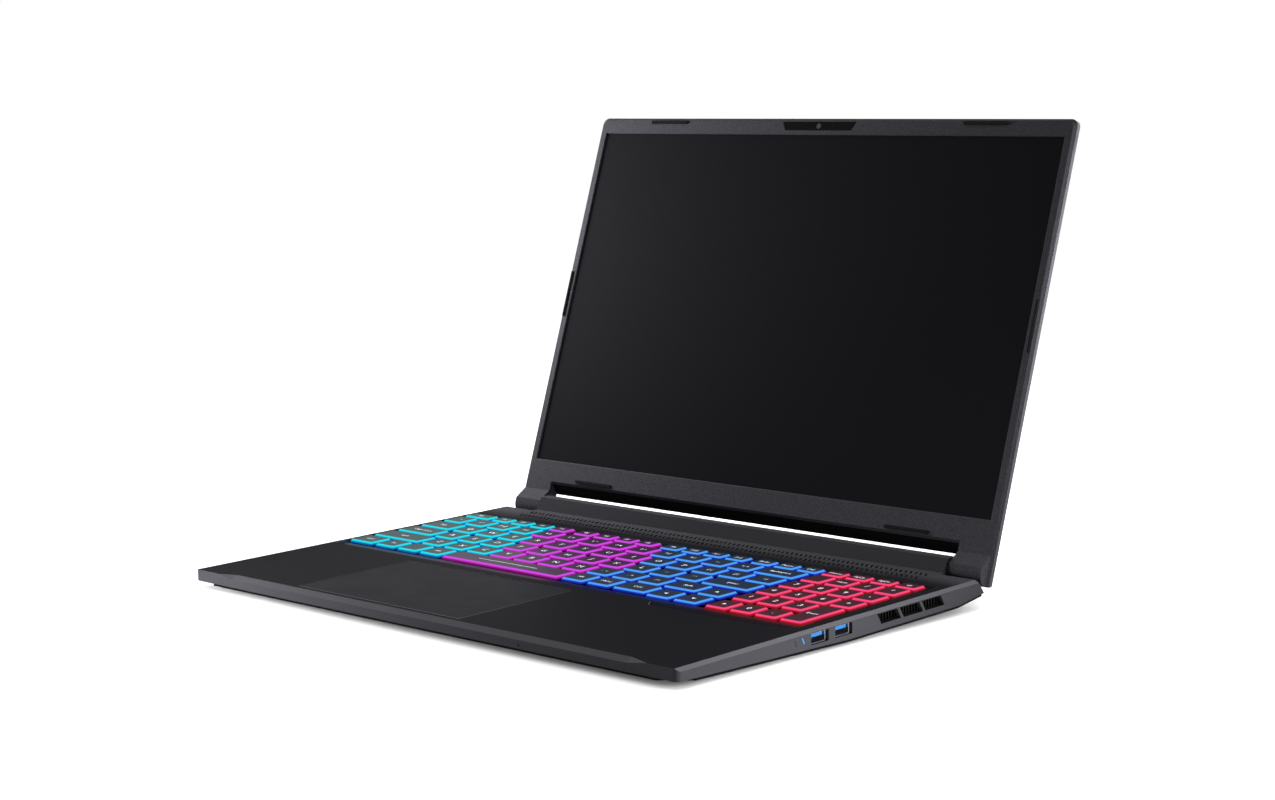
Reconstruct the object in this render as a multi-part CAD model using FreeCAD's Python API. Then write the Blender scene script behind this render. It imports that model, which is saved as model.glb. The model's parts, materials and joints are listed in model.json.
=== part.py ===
import FreeCAD, Part
import math
import os

# Laptop computer with a sixteen-inch screen and a full keyboard, in millimetres.
# Deck frame: X to the right seen from the front, Y from the front edge to the back, Z up from the palm rest.
# Table frame: the deck frame turned by the wedge angle of the base, Z up from the table.
# Lid frame: X as above, Y up the screen from the hinge axis, Z out of the screen.
# The base's width and the deck's depth drive the rest.

BASE_WIDTH = 360.1
DECK_DEPTH = 242.5

# Stand of the base on the table
WEDGE_ANGLE = 1.45
FRONT_STAND = 10.6
FOOT_HEIGHT = 1.8

# Clearances
SLIP = 0.1
RUNNING_CLEARANCE = 0.05

# Top case
BASE_HALF = BASE_WIDTH / 2
BASE_DEPTH = DECK_DEPTH + 37.4
CASE_WALL = 1.7
SIDE_WALL = 2.2
WALL_FRONT = 6.4
WALL_MIDDLE = 10.8
WALL_REAR = 8.0
WALL_MIDDLE_START = DECK_DEPTH * 0.536
WALL_MIDDLE_END = DECK_DEPTH - 17.5
REAR_LEAN = 6.1
FRONT_CORNER_RADIUS = 3.0
SIDE_BEVEL_WIDTH = 1.8
SIDE_BEVEL_DROP = 1.7
FRONT_BEVEL_DEPTH = 4.3
FRONT_BEVEL_DROP = 1.9
FRONT_BEVEL_HALF = BASE_HALF - 32.0
FRONT_BEVEL_RUNOUT = 13.5

# Lid width, and the rear bar that stands up behind the deck between the lid's hinge blocks
LID_HALF = BASE_HALF - 1.15
HINGE_BLOCK_WIDTH = 22.9
NOTCH_HALF = LID_HALF - HINGE_BLOCK_WIDTH
BAR_HALF = NOTCH_HALF - 1.0
BAR_FRONT = DECK_DEPTH + 3.8
BAR_HEIGHT = 7.4
BAR_FRONT_LEAN = 4.2
BAR_TOP_END = BAR_FRONT + 11.0
BAR_STEP_END = BAR_FRONT + 16.7
BAR_STEP_HEIGHT = 4.9
BAR_REAR_HEIGHT = 1.5
BAR_LAP = 9.0

# Deck vents
VENT_COUNT = 92
VENT_MARGIN = 29.9
VENT_PITCH = (BASE_WIDTH - 2 * VENT_MARGIN) / (VENT_COUNT - 1)
VENT_SLOT_WIDTH = 1.5
VENT_SLOT_DEPTH = 5.2
VENT_SLOT_LEAN = 2.3
VENT_ROWS = (DECK_DEPTH - 14.5, DECK_DEPTH - 5.5)

# Side exhaust windows
EXHAUST_START = DECK_DEPTH - 89.3
EXHAUST_WINDOW = 17.0
EXHAUST_BAR = 2.2
EXHAUST_COUNT = 3
EXHAUST_LEAN = 3.4
EXHAUST_HEIGHT = 5.6
EXHAUST_TOP_RIGHT = -2.2
EXHAUST_TOP_LEFT = -4.7
GRILLE_DEPTH = 3.2
GRILLE_PITCH = 2.5
GRILLE_FIN = 0.5

# Keys
KEY_PITCH = BASE_WIDTH / 18.9
KEY_GAP = 4.85
KEY_TOP = KEY_PITCH - KEY_GAP
ROW_PITCH = DECK_DEPTH * 0.0775
ROW_GAP = 4.2
KEY_DEPTH = ROW_PITCH - ROW_GAP
KEY_FLARE = 1.05
KEY_TOP_Z = 0.4
KEY_HEIGHT = 1.9
KEY_TRAVEL = 1.5
FUNCTION_DEPTH = 9.0
ARROW_DROP = 2.5
STEM_WIDTH = 4.0
STEM_GAP = 0.3
STEM_SEAT = 0.4
WIDE_KEY = 60.0

# Keyboard well: a shallow recess round a deeper key field, which ends at the side sockets
USB_DEPTH = 8.4
SOCKET_IN = BASE_HALF - SIDE_WALL - USB_DEPTH
WELL_LEFT = -BASE_HALF + 3.55
WELL_RIGHT = BASE_HALF - 7.55
WELL_BACK = DECK_DEPTH - 26.0
FUNCTION_ROW = WELL_BACK - 8.1
NUMBER_ROW = FUNCTION_ROW - 15.6
FIRST_ROW = NUMBER_ROW - 4 * ROW_PITCH
BLOCK_LEFT = WELL_LEFT + 1.75
BLOCK_RIGHT = BLOCK_LEFT + 14.342 * KEY_PITCH
NUMBER_FIRST = BLOCK_RIGHT + 12.5
WELL_FRONT = FIRST_ROW - 19.6
WELL_FRONT_RIGHT = WELL_FRONT - 7.5
WELL_STEP = BLOCK_RIGHT - 23.5
WELL_STEP_RUN = 5.0
WELL_RIGHT_CUT = 15.5
WELL_RIGHT_RISE = 6.5
WELL_DROP = 1.1
WELL_FLOOR = 0.9
FIELD_MARGIN = 0.6
FIELD_DEPTH = 3.4
SKIRT_WALL = 1.0
PLATE_GAP = 0.5
KEYS_RIGHT = SOCKET_IN - PLATE_GAP - SKIRT_WALL - FIELD_MARGIN - KEY_FLARE
NUMBER_PITCH = (KEYS_RIGHT - NUMBER_FIRST + ROW_GAP / 2) / 3.5
SMALL_KEY_TOP = NUMBER_PITCH - ROW_GAP
PLATE_THICK = 1.0
PLATE_TOP = -FIELD_DEPTH
PLATE_BOTTOM = PLATE_TOP - PLATE_THICK

# Touchpad, in line with the typing block
PAD_WIDTH = BASE_WIDTH * 0.35
PAD_LEFT = (BLOCK_LEFT + BLOCK_RIGHT - PAD_WIDTH) / 2 + 1.1
PAD_RIGHT = PAD_LEFT + PAD_WIDTH
PAD_FRONT = 8.0
PAD_BACK = WELL_FRONT - 7.0
PAD_RADIUS = 1.2
PAD_THICK = 1.6
PAD_SINK = 0.15
PAD_GAP = 0.4
PAD_SWING = 0.35
BRACKET_DROP = 2.6
BRACKET_THICK = 0.8

# Sockets
USB_FIRST = DECK_DEPTH * 0.409
USB_FRONTS_RIGHT = (USB_FIRST, USB_FIRST + 19.2)
USB_FRONT_LEFT = FIRST_ROW - 27.6
USB_WIDTH = 14.0
USB_SHELL_WIDTH = 12.5
USB_HEIGHT = 5.8
USB_TOP = -2.2
USB_SHELL = 0.4
USB_TONGUE = 1.9
USB_TONGUE_DROP = 0.3
JACK_Y = USB_FRONT_LEFT - 12.0
JACK_Z = -5.2
JACK_BORE = 1.75
JACK_COLLAR = 2.9
JACK_DEPTH = 13.0
JACK_END = 1.5
JACK_BODY = 7.0
LIGHT_SLOTS = (USB_FIRST - 13.8, USB_FIRST - 7.4)
LIGHT_WIDTH = 1.3
LIGHT_TOP = -3.0
LIGHT_HEIGHT = 3.4
LIGHT_LEAN = 1.6
PORT_BOARD_WIDTH = 18.0
PORT_BOARD_THICK = 0.6
REAR_SOCKET_DEPTH = 12.0
POWER_X = -32.0
POWER_SIZE = (12.0, 5.4)
VIDEO_X = -8.0
VIDEO_SIZE = (15.4, 5.4)
USB_C_X = (16.0, 31.0)
USB_C_SIZE = (9.6, 3.8)
PORT_EDGE = 2.5
SOCKET_RIM = 0.5
SOCKET_TONGUE = 0.8

# Bottom cover
COVER_INSET = 0.65
COVER_RIM = 1.4
COVER_WALL = 1.5
COVER_SIDE = 2.0
COVER_SLOPE_RUN = 7.7
COVER_SLOPE_RISE = 8.7
COVER_CORNER = 14.0
FOOT_WIDTH = 9.0
FOOT_CORNER = 2.5
FRONT_FOOT_LENGTH = 38.0
FRONT_FOOT_X = BASE_HALF - 40.0
FRONT_FOOT_Y = 22.0
REAR_FOOT_LENGTH = BASE_WIDTH - 90.0
REAR_FOOT_Y = DECK_DEPTH - 6.5
SCREW_SIDE_X = BASE_HALF - 34.0
SCREW_REAR_X = BASE_HALF - 20.0
SCREW_FRONT_Y = 12.8
SCREW_MIDDLE_Y = WELL_FRONT_RIGHT - 6.5
SCREW_REAR_Y = WELL_BACK + 5.0
SCREW_PLACES = ((-SCREW_SIDE_X, SCREW_FRONT_Y), (SCREW_SIDE_X, SCREW_FRONT_Y),
                (-SCREW_SIDE_X, SCREW_MIDDLE_Y), (SCREW_SIDE_X, SCREW_MIDDLE_Y),
                (-SCREW_REAR_X, SCREW_REAR_Y), (0.0, SCREW_REAR_Y), (SCREW_REAR_X, SCREW_REAR_Y))
SCREW_SHANK = 1.25
SCREW_HEAD = 2.4
SCREW_HEAD_HEIGHT = 1.15
SCREW_LENGTH = 5.0
POST_RADIUS = 2.6
SCREW_SIDES = 10
SPEAKER_SLOTS = 4
SPEAKER_SLOT = (1.4, 16.0)
SPEAKER_SLOT_PITCH = 3.2

# Fans, boards and storage
FAN_X = BASE_HALF - 68.05
FAN_Y = DECK_DEPTH - 58.5
FAN_WIDTH = BASE_WIDTH * 0.2277
FAN_LENGTH = FAN_WIDTH - 6.0
FAN_TOP = -5.6
FAN_HEIGHT = 5.2
FAN_PLATE = 0.6
FAN_BORE = FAN_LENGTH / 2 - 4.0
FAN_INLET = FAN_BORE - 9.0
ROTOR_RADIUS = FAN_BORE - 2.0
ROTOR_HUB = 12.0
ROTOR_GAP = 0.3
BLADE_COUNT = 19
BLADE_THICK = 0.7
BLADE_TURN = 28.0
FAN_SIDES = 36
SPINDLE_RADIUS = 2.0
SPINDLE_LENGTH = 2.6
INTAKE_SLOT = (2.2, 15.0)
INTAKE_PITCH = (7.0, 18.0)
INTAKE_COUNT = (7, 3)
BOARD_TOP = -7.9
BOARD_THICK = 1.0
BOARD_GAP = 0.8
BOARD_HALF = FAN_X - FAN_WIDTH / 2 - 5.0
BOARD_FRONT = WELL_FRONT + 3.0
BOARD_BACK = WELL_BACK + 5.5
REAR_TONGUE_HALF = 46.0
REAR_TONGUE_BACK = BASE_DEPTH - 5.9
CHIP_X = BOARD_HALF * 0.288
CHIP_PLACES = ((-CHIP_X, BOARD_FRONT + 45.0), (CHIP_X, BOARD_FRONT + 65.0))
CHIP_PLATE = BOARD_HALF * 0.45
PLATE_RISE = 0.6
PIPE_WIDTH = 7.0
PIPE_THICK = 1.6
PIPE_STEP = 8.0
PIPE_BEND_Y = DECK_DEPTH - 6.5
MEMORY_X = BOARD_HALF * 0.757
MEMORY_WIDTH = BOARD_HALF * 0.44
MEMORY_LENGTH = 66.0
CARD_THICK = 0.9
CHIP_THICK = 0.9
STORAGE_WIDTH = BOARD_HALF * 0.55
STORAGE_LENGTH = 22.0
RADIO_WIDTH = BOARD_HALF * 0.3
RADIO_LENGTH = 26.0
BATTERY_HALF = SCREW_SIDE_X - 8.0
BATTERY_FRONT = 17.0
BATTERY_BACK = WELL_FRONT - 8.0
BATTERY_TOP = -3.7
BATTERY_THICK = 3.6
CELL_COUNT = 4
CELL_GAP = 1.5
SPEAKER_OUT = BASE_HALF - 9.0
SPEAKER_IN = SPEAKER_OUT - 17.0
SPEAKER_FRONT = 18.0
SPEAKER_BACK = JACK_Y - 22.0
SPEAKER_TOP = -1.8
SPEAKER_HEIGHT = 4.8
SPEAKER_EDGE = 3.0

# Hinges
HINGE_Y = BAR_FRONT + 9.1
HINGE_Z = 1.0
OPEN_ANGLE = 109.16
SHAFT_RADIUS = 2.0
KNUCKLE_RADIUS = 4.0
BASE_KNUCKLE_RADIUS = 3.5
KNUCKLE_START = BAR_HALF - 13.5
KNUCKLE_END = BAR_HALF - 0.8
BRACKET_START = BAR_HALF - 26.0
BRACKET_PLATE = 1.2
SEAT_WIDTH = 5.2
ARM_START = NOTCH_HALF + 2.0
ARM_END = NOTCH_HALF + 15.0
ARM_LENGTH = 72.0
ARM_THICK = 1.2
ARM_ROOM = 0.6
NUT_LENGTH = 2.0

# Fin stacks, from the main board's tongue to the hinge brackets
FIN_PITCH = 6.0
FIN_THICK = 0.5
SIDE_FINS_DEPTH = 20.0
REAR_FINS_IN = REAR_TONGUE_HALF + 6.0
REAR_FINS_OUT = BRACKET_START - 3.0
REAR_FINS_DEPTH = 17.0
REAR_FINS_TOP = -0.9
REAR_FINS_BOTTOM = BOARD_TOP
REAR_GRILLE_SLOT = 5.0
REAR_GRILLE_BAR = 1.6
REAR_GRILLE_TOP = -1.2
REAR_GRILLE_HEIGHT = 6.0

# Lid
LID_TOP = HINGE_Y + 0.3
LID_FRONT = -0.15
LID_THICK = 7.5
LID_BACK = LID_FRONT - LID_THICK
LID_WALL = 1.2
LID_RIM = 2.0
LID_TOP_RIM = 3.6
LID_CORNER = 4.5
LID_BEVEL_IN = 7.0
LID_BEVEL_RISE = 3.1
NOTCH_TOP = 15.73
NOTCH_BACK = 9.43
BLOCK_RADIUS = 6.95
BLOCK_SHIFT = (-0.4, -0.7)
SHOULDER_TOP = 9.83
SHOULDER_EDGE = 2.3
BEZEL_HALF = LID_HALF - 1.7
BEZEL_TOP = LID_TOP - 1.6
BEZEL_THICK = 1.6
SEAM = LID_FRONT - BEZEL_THICK
BEZEL_SIDE = 4.45
BEZEL_UPPER = 8.82
WINDOW_BOTTOM = 29.08
WINDOW_WIDTH = 2 * (BEZEL_HALF - BEZEL_SIDE)
WINDOW_HEIGHT = BEZEL_TOP - WINDOW_BOTTOM - BEZEL_UPPER
WINDOW_FLARE = 0.5
LIP_THICK = 1.15
PANEL_BORDER = 1.5
PANEL_THICK = 3.0
ANTENNA_HEIGHT = 9.0
CAMERA_Y = BEZEL_TOP - 3.5
CAMERA_HEIGHT = 5.3
CAMERA_HALF_TOP = 28.0
CAMERA_HALF_BOTTOM = 25.0
CAMERA_INSET = 0.6
CAMERA_LENS = 1.7
CAMERA_BOARD = (60.0, 4.8, 1.0)
BUMPER_LENGTH = 30.0
BUMPER_WIDTH = 2.0
BUMPER_HEIGHT = 0.9
BUMPER_CORNER = 0.4
BUMPER_X = LID_HALF * 0.669
BUMPER_TOP_Y = BEZEL_TOP - 1.5
BUMPER_BOTTOM_Y = NOTCH_TOP + 1.87
BUMPER_SIDE_X = BEZEL_HALF - 1.0
BUMPER_SIDE_Y = LID_TOP * 0.538
BUMPER_SIDE_WIDTH = 1.2

V = FreeCAD.Vector
FAR = 2 * BASE_WIDTH
DEEP = 40.0
# Height of the case wall's foot along the base, where the bottom cover meets it
PARTING = ((0.0, -WALL_FRONT), (WALL_MIDDLE_START, -WALL_MIDDLE), (WALL_MIDDLE_END, -WALL_MIDDLE),
           (DECK_DEPTH + REAR_LEAN, -WALL_REAR), (BASE_DEPTH, -WALL_REAR))


def face_of(points):
    """Flat face inside a closed run of points."""
    return Part.Face(Part.makePolygon(points + points[:1]))


def prism_x(outline, start, end):
    """Solid from a (y, z) outline, from one X to another."""
    return face_of([V(start, y, z) for y, z in outline]).extrude(V(end - start, 0, 0))


def prism_y(outline, start, end):
    """Solid from an (x, z) outline, from one Y to another."""
    return face_of([V(x, start, z) for x, z in outline]).extrude(V(0, end - start, 0))


def prism_z(outline, start, end):
    """Solid from an (x, y) outline, from one Z to another."""
    return face_of([V(x, y, start) for x, y in outline]).extrude(V(0, 0, end - start))


def box(x0, x1, y0, y1, z0, z1):
    """Box between two corners."""
    return Part.makeBox(x1 - x0, y1 - y0, z1 - z0, V(x0, y0, z0))


def rod_x(start, end, y, z, radius):
    """Round bar along X."""
    return Part.makeCylinder(radius, end - start, V(start, y, z), V(1, 0, 0))


def rod_z(x, y, start, end, radius):
    """Round bar along Z."""
    return Part.makeCylinder(radius, end - start, V(x, y, start), V(0, 0, 1))


def ring_of(x, y, radius, sides):
    """Plan of a many-sided round form."""
    turns = [2 * math.pi * (i + 0.5) / sides for i in range(sides)]
    return [(x + radius * math.cos(turn), y + radius * math.sin(turn)) for turn in turns]


def post_z(x, y, start, end, radius, sides=SCREW_SIDES):
    """Many-sided bar along Z."""
    return prism_z(ring_of(x, y, radius, sides), start, end)


def head_z(x, y, start, wide, narrow, height):
    """Many-sided countersunk head along Z, wide at its start."""
    sections = [[V(a, b, z) for a, b in ring_of(x, y, radius, SCREW_SIDES)]
                for radius, z in ((wide, start), (narrow, start + height))]
    return ruled(*sections)


def mirrored(shape):
    """Copy of a shape on the other side of the middle plane."""
    return shape.mirror(V(0, 0, 0), V(1, 0, 0))


def joined(first, others):
    """One solid from several that meet."""
    return first.fuse(others).removeSplitter()


def inset(outline, distance):
    """Outline moved inwards by a distance, for points that run anticlockwise."""
    moved = []
    count = len(outline)
    for i in range(count):
        a, b, c = outline[i - 1], outline[i], outline[(i + 1) % count]
        first = (b[0] - a[0], b[1] - a[1])
        second = (c[0] - b[0], c[1] - b[1])
        long_1 = math.hypot(*first)
        long_2 = math.hypot(*second)
        n1 = (-first[1] / long_1, first[0] / long_1)
        n2 = (-second[1] / long_2, second[0] / long_2)
        share = distance / (1 + n1[0] * n2[0] + n1[1] * n2[1])
        moved.append((b[0] + share * (n1[0] + n2[0]), b[1] + share * (n1[1] + n2[1])))
    return moved


def ruled(*sections):
    """Solid through flat sections of equal numbers of points, its sides split where they twist."""
    faces = [face_of(sections[0]), face_of(sections[-1])]
    for low, high in zip(sections, sections[1:]):
        for i in range(len(low)):
            a, b, c, d = low[i - 1], low[i], high[i], high[i - 1]
            if abs((b - a).cross(c - a).dot(d - a)) < 1e-6:
                faces.append(face_of([a, b, c, d]))
            else:
                faces += [face_of([a, b, c]), face_of([a, c, d])]
    solid = Part.makeSolid(Part.makeShell(faces))
    if solid.Volume < 0:
        solid.reverse()
    return solid


def cut_corners(x0, x1, y0, y1, z, cut):
    """Rectangle with its corners cut off at one height."""
    plan = [(x0 + cut, y0), (x1 - cut, y0), (x1, y0 + cut), (x1, y1 - cut),
            (x1 - cut, y1), (x0 + cut, y1), (x0, y1 - cut), (x0, y0 + cut)]
    return [V(x, y, z) for x, y in plan]


def rectangle(x0, x1, y0, y1, z):
    """Rectangle at one height."""
    return [V(x, y, z) for x, y in ((x0, y0), (x1, y0), (x1, y1), (x0, y1))]


def rounded_wire(x0, x1, y0, y1, z, radius):
    """Rectangle with round corners at one height."""
    corners = ((x1 - radius, y1 - radius, 0), (x0 + radius, y1 - radius, 90),
               (x0 + radius, y0 + radius, 180), (x1 - radius, y0 + radius, 270))
    edges = []
    last = None
    for cx, cy, turn in corners:
        on_arc = [V(cx + radius * math.cos(math.radians(turn + step)),
                    cy + radius * math.sin(math.radians(turn + step)), z) for step in (0, 45, 90)]
        if last is not None:
            edges.append(Part.LineSegment(last, on_arc[0]).toShape())
        edges.append(Part.Arc(*on_arc).toShape())
        last = on_arc[2]
    edges.append(Part.LineSegment(last, edges[0].Vertexes[0].Point).toShape())
    return Part.Wire(edges)


def pad_block(x, y, length, width, z0, z1, cut):
    """Flat block round a middle point, with its corners cut off."""
    edges = (x - length / 2, x + length / 2, y - width / 2, y + width / 2)
    return ruled(cut_corners(*edges, z0, cut), cut_corners(*edges, z1, cut))


def leaning(y0, y1, top, height, lean, x0, x1):
    """Window whose lower edge is moved to the back."""
    low = top - height
    return prism_x([(y0, top), (y1, top), (y1 + lean, low), (y0 + lean, low)], x0, x1)


def deck_to_table(shape):
    """Deck frame to table frame."""
    turned = shape.copy()
    turned.rotate(V(0, 0, 0), V(1, 0, 0), WEDGE_ANGLE)
    turned.translate(V(0, 0, FRONT_STAND))
    return turned


def lid_to_deck(shape):
    """Lid frame to deck frame, with the lid open."""
    turned = shape.copy()
    turned.rotate(V(0, 0, 0), V(1, 0, 0), 180 - OPEN_ANGLE)
    turned.translate(V(0, HINGE_Y, HINGE_Z))
    return turned


def under_deck(y):
    """Table height of the middle of the deck's thickness."""
    return FRONT_STAND + y * math.sin(math.radians(WEDGE_ANGLE)) - CASE_WALL / 2


def case_profile():
    """Side outline of the deck block, in (y, z), carried far below the parting line."""
    slope = REAR_LEAN / WALL_REAR
    return [(0, -DEEP), (DECK_DEPTH + slope * DEEP, -DEEP), (DECK_DEPTH, 0), (0, 0)]


def bar_profile():
    """Side outline of the rear bar, in (y, z), carried far below and to the front."""
    return [(-FAR, -DEEP), (BASE_DEPTH, -DEEP), (BASE_DEPTH, BAR_REAR_HEIGHT),
            (BAR_STEP_END, BAR_STEP_HEIGHT), (BAR_TOP_END, BAR_HEIGHT),
            (BAR_FRONT + BAR_FRONT_LEAN, BAR_HEIGHT), (BAR_FRONT, 0), (-FAR, 0)]


def below_parting(drop=0.0):
    """Room below the parting line, moved down by a drop, in the deck frame."""
    line = [(y, z - drop) for y, z in PARTING]
    ends = [(-FAR, -WALL_FRONT - drop)] + line + [(FAR, -WALL_REAR - drop)]
    return prism_x([(-FAR, -FAR)] + [(FAR, -FAR)] + ends[::-1], -FAR, FAR)


def well_outline():
    """Plan of the keyboard recess."""
    return [(WELL_LEFT, WELL_FRONT), (WELL_STEP, WELL_FRONT), (WELL_STEP + WELL_STEP_RUN, WELL_FRONT_RIGHT),
            (WELL_RIGHT - WELL_RIGHT_CUT, WELL_FRONT_RIGHT),
            (WELL_RIGHT, WELL_FRONT_RIGHT + WELL_RIGHT_RISE), (WELL_RIGHT, WELL_BACK), (WELL_LEFT, WELL_BACK)]


def centred(places, width, row_y, depth=KEY_DEPTH):
    """Key tops of one width on a list of X places."""
    return [(x - width / 2, x + width / 2, row_y - depth / 2, row_y + depth / 2) for x in places]


def spread(first, count, pitch=KEY_PITCH):
    """Evenly spaced X places."""
    return [first + i * pitch for i in range(count)]


def spans(pairs, row_y, depth=KEY_DEPTH):
    """Key tops between pairs of X values."""
    return [(left, right, row_y - depth / 2, row_y + depth / 2) for left, right in pairs]


def key_layout():
    """Key tops (x0, x1, y0, y1) of each key node."""
    bottom, lower, home, upper, number = [FIRST_ROW + i * ROW_PITCH for i in range(5)]
    half = KEY_TOP / 2
    # Right edges of the keys that end at the typing block's left side, in key pitches
    edge_right = BLOCK_LEFT + 0.71 * KEY_PITCH
    ctrl_right = BLOCK_LEFT + 0.92 * KEY_PITCH
    first_digit = edge_right + KEY_GAP + half
    first_upper = first_digit + 0.5 * KEY_PITCH
    first_home = first_digit + 0.74 * KEY_PITCH
    first_lower = first_digit + 1.21 * KEY_PITCH
    first_bottom = ctrl_right + KEY_GAP + half
    space_left = ctrl_right + KEY_GAP + 3 * KEY_PITCH
    space_right = space_left + 4.725 * KEY_PITCH
    after_space = space_right + KEY_GAP + half
    down_x = BLOCK_RIGHT - half - 1.4
    arrow_low = bottom - ARROW_DROP
    pad = spread(NUMBER_FIRST, 4, NUMBER_PITCH)
    small_half = SMALL_KEY_TOP / 2

    def after(first, count):
        """Left edge of the key that follows a run of single keys."""
        return first + (count - 1) * KEY_PITCH + half + KEY_GAP

    function_keys = []
    for start, count in ((1.541, 4), (5.194, 4), (8.816, 4), (12.386, 3)):
        function_keys += spread(BLOCK_LEFT + start * KEY_PITCH, count, NUMBER_PITCH)
    pad_rows = [key for row_y in (number, upper, home) for key in centred(pad, SMALL_KEY_TOP, row_y)]
    pad_rows += centred(pad[:3], SMALL_KEY_TOP, lower) + centred(pad[1:3], SMALL_KEY_TOP, arrow_low)
    return {
        "function_row_keys": spans([(BLOCK_LEFT, ctrl_right + 1.25)], FUNCTION_ROW, FUNCTION_DEPTH)
        + centred(function_keys + pad[:3], SMALL_KEY_TOP, FUNCTION_ROW, FUNCTION_DEPTH),
        "power_key": centred(pad[3:], SMALL_KEY_TOP, FUNCTION_ROW, FUNCTION_DEPTH),
        "number_row_keys": spans([(BLOCK_LEFT, edge_right)], number)
        + centred(spread(first_digit, 12), KEY_TOP, number)
        + spans([(after(first_digit, 12), BLOCK_RIGHT)], number),
        "upper_row_keys": spans([(BLOCK_LEFT, first_upper - half - KEY_GAP)], upper)
        + centred(spread(first_upper, 12), KEY_TOP, upper)
        + spans([(after(first_upper, 12), BLOCK_RIGHT)], upper),
        "home_row_keys": spans([(BLOCK_LEFT, first_home - half - KEY_GAP)], home)
        + centred(spread(first_home, 11), KEY_TOP, home),
        "enter_key": spans([(after(first_home, 11), BLOCK_RIGHT)], home),
        "lower_row_keys": spans([(BLOCK_LEFT, first_lower - half - KEY_GAP)], lower)
        + centred(spread(first_lower, 10), KEY_TOP, lower)
        + spans([(after(first_lower, 10), down_x - half - KEY_GAP)], lower),
        "bottom_row_keys": spans([(BLOCK_LEFT, ctrl_right)], bottom)
        + centred(spread(first_bottom, 3), KEY_TOP, bottom)
        + centred(spread(after_space, 2), KEY_TOP, bottom)
        + spans([(after(after_space, 2), down_x - KEY_PITCH - half - KEY_GAP)], bottom),
        "space_bar": spans([(space_left, space_right)], bottom),
        "arrow_keys": centred([down_x], KEY_TOP, lower - ARROW_DROP)
        + centred([down_x - KEY_PITCH, down_x], KEY_TOP, arrow_low)
        + centred(pad[:1], SMALL_KEY_TOP, arrow_low),
        "number_pad_keys": pad_rows,
        "number_pad_enter": [(pad[3] - small_half, pad[3] + small_half,
                              arrow_low - KEY_DEPTH / 2, lower + KEY_DEPTH / 2)],
    }


def stem_places(key):
    """Middles of a key's stems: one, or two under a wide key."""
    x0, x1, y0, y1 = key
    y = (y0 + y1) / 2
    if x1 - x0 < WIDE_KEY:
        return [((x0 + x1) / 2, y)]
    return [(x0 + (x1 - x0) * share, y) for share in (0.25, 0.75)]


def key_cap(key):
    """Flared cap with its stems, which run in slots of the plate below."""
    x0, x1, y0, y1 = key
    flare = KEY_FLARE
    foot_z = KEY_TOP_Z - KEY_HEIGHT
    cap = ruled(rectangle(x0 - flare, x1 + flare, y0 - flare, y1 + flare, foot_z),
                rectangle(x0, x1, y0, y1, KEY_TOP_Z))
    half = STEM_WIDTH / 2
    low = PLATE_TOP - STEM_SEAT
    stems = [box(x - half, x + half, y - half, y + half, low, foot_z) for x, y in stem_places(key)]
    return joined(cap, stems)


def key_field(layout):
    """Rectangle (x0, x1, y0, y1) of the opening round all the keys."""
    keys = [key for group in layout.values() for key in group]
    reach = KEY_FLARE + FIELD_MARGIN
    return (min(k[0] for k in keys) - reach, max(k[1] for k in keys) + reach,
            min(k[2] for k in keys) - reach, max(k[3] for k in keys) + reach)


def front_bevel():
    """Room cut from the front edge: a bevel that runs out to nothing at both ends."""
    def section(x, scale):
        depth = FRONT_BEVEL_DEPTH * scale
        drop = FRONT_BEVEL_DROP * scale
        return [V(x, depth, 0), V(x, depth, 1), V(x, -1, 1), V(x, -1, -drop * (1 + 1 / FRONT_BEVEL_DEPTH))]
    end = FRONT_BEVEL_HALF + FRONT_BEVEL_RUNOUT
    places = ((-end, 0.02), (-FRONT_BEVEL_HALF, 1), (FRONT_BEVEL_HALF, 1), (end, 0.02))
    return ruled(*[section(x, scale) for x, scale in places])


def vent_slots():
    """Two rows of small leaning slots through the deck behind the keyboard."""
    half_x = VENT_SLOT_WIDTH / 2
    half_y = VENT_SLOT_DEPTH / 2
    lean = VENT_SLOT_LEAN / 2
    first = -(VENT_COUNT - 1) * VENT_PITCH / 2
    slots = []
    for row_y in VENT_ROWS:
        for i in range(VENT_COUNT):
            x = first + i * VENT_PITCH
            plan = [(x - half_x + lean, row_y - half_y), (x + half_x + lean, row_y - half_y),
                    (x + half_x - lean, row_y + half_y), (x - half_x - lean, row_y + half_y)]
            slots.append(prism_z(plan, -CASE_WALL - 1, 1))
    return slots


def exhaust_windows(top, x0, x1):
    """Row of leaning windows through a side wall."""
    step = EXHAUST_WINDOW + EXHAUST_BAR
    starts = [EXHAUST_START + i * step for i in range(EXHAUST_COUNT)]
    return [leaning(y, y + EXHAUST_WINDOW, top, EXHAUST_HEIGHT, EXHAUST_LEAN, x0, x1) for y in starts]


def rear_sockets():
    """Rear socket outlines: name, middle X, width and height."""
    sockets = [("power_inlet", POWER_X, POWER_SIZE), ("video_socket", VIDEO_X, VIDEO_SIZE)]
    return sockets + [("usb_c_sockets", x, USB_C_SIZE) for x in USB_C_X]


def rear_grille_slots():
    """Upright exhaust slots through the rear wall, on both sides."""
    slots = []
    step = REAR_GRILLE_SLOT + REAR_GRILLE_BAR
    count = int((REAR_FINS_OUT - REAR_FINS_IN) / step)
    low = REAR_GRILLE_TOP - REAR_GRILLE_HEIGHT
    for i in range(count):
        x = REAR_FINS_IN + i * step
        slot = box(x, x + REAR_GRILLE_SLOT, BASE_DEPTH - 2 * CASE_WALL, BASE_DEPTH + 1, low, REAR_GRILLE_TOP)
        slots += [slot, mirrored(slot)]
    return slots


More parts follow.
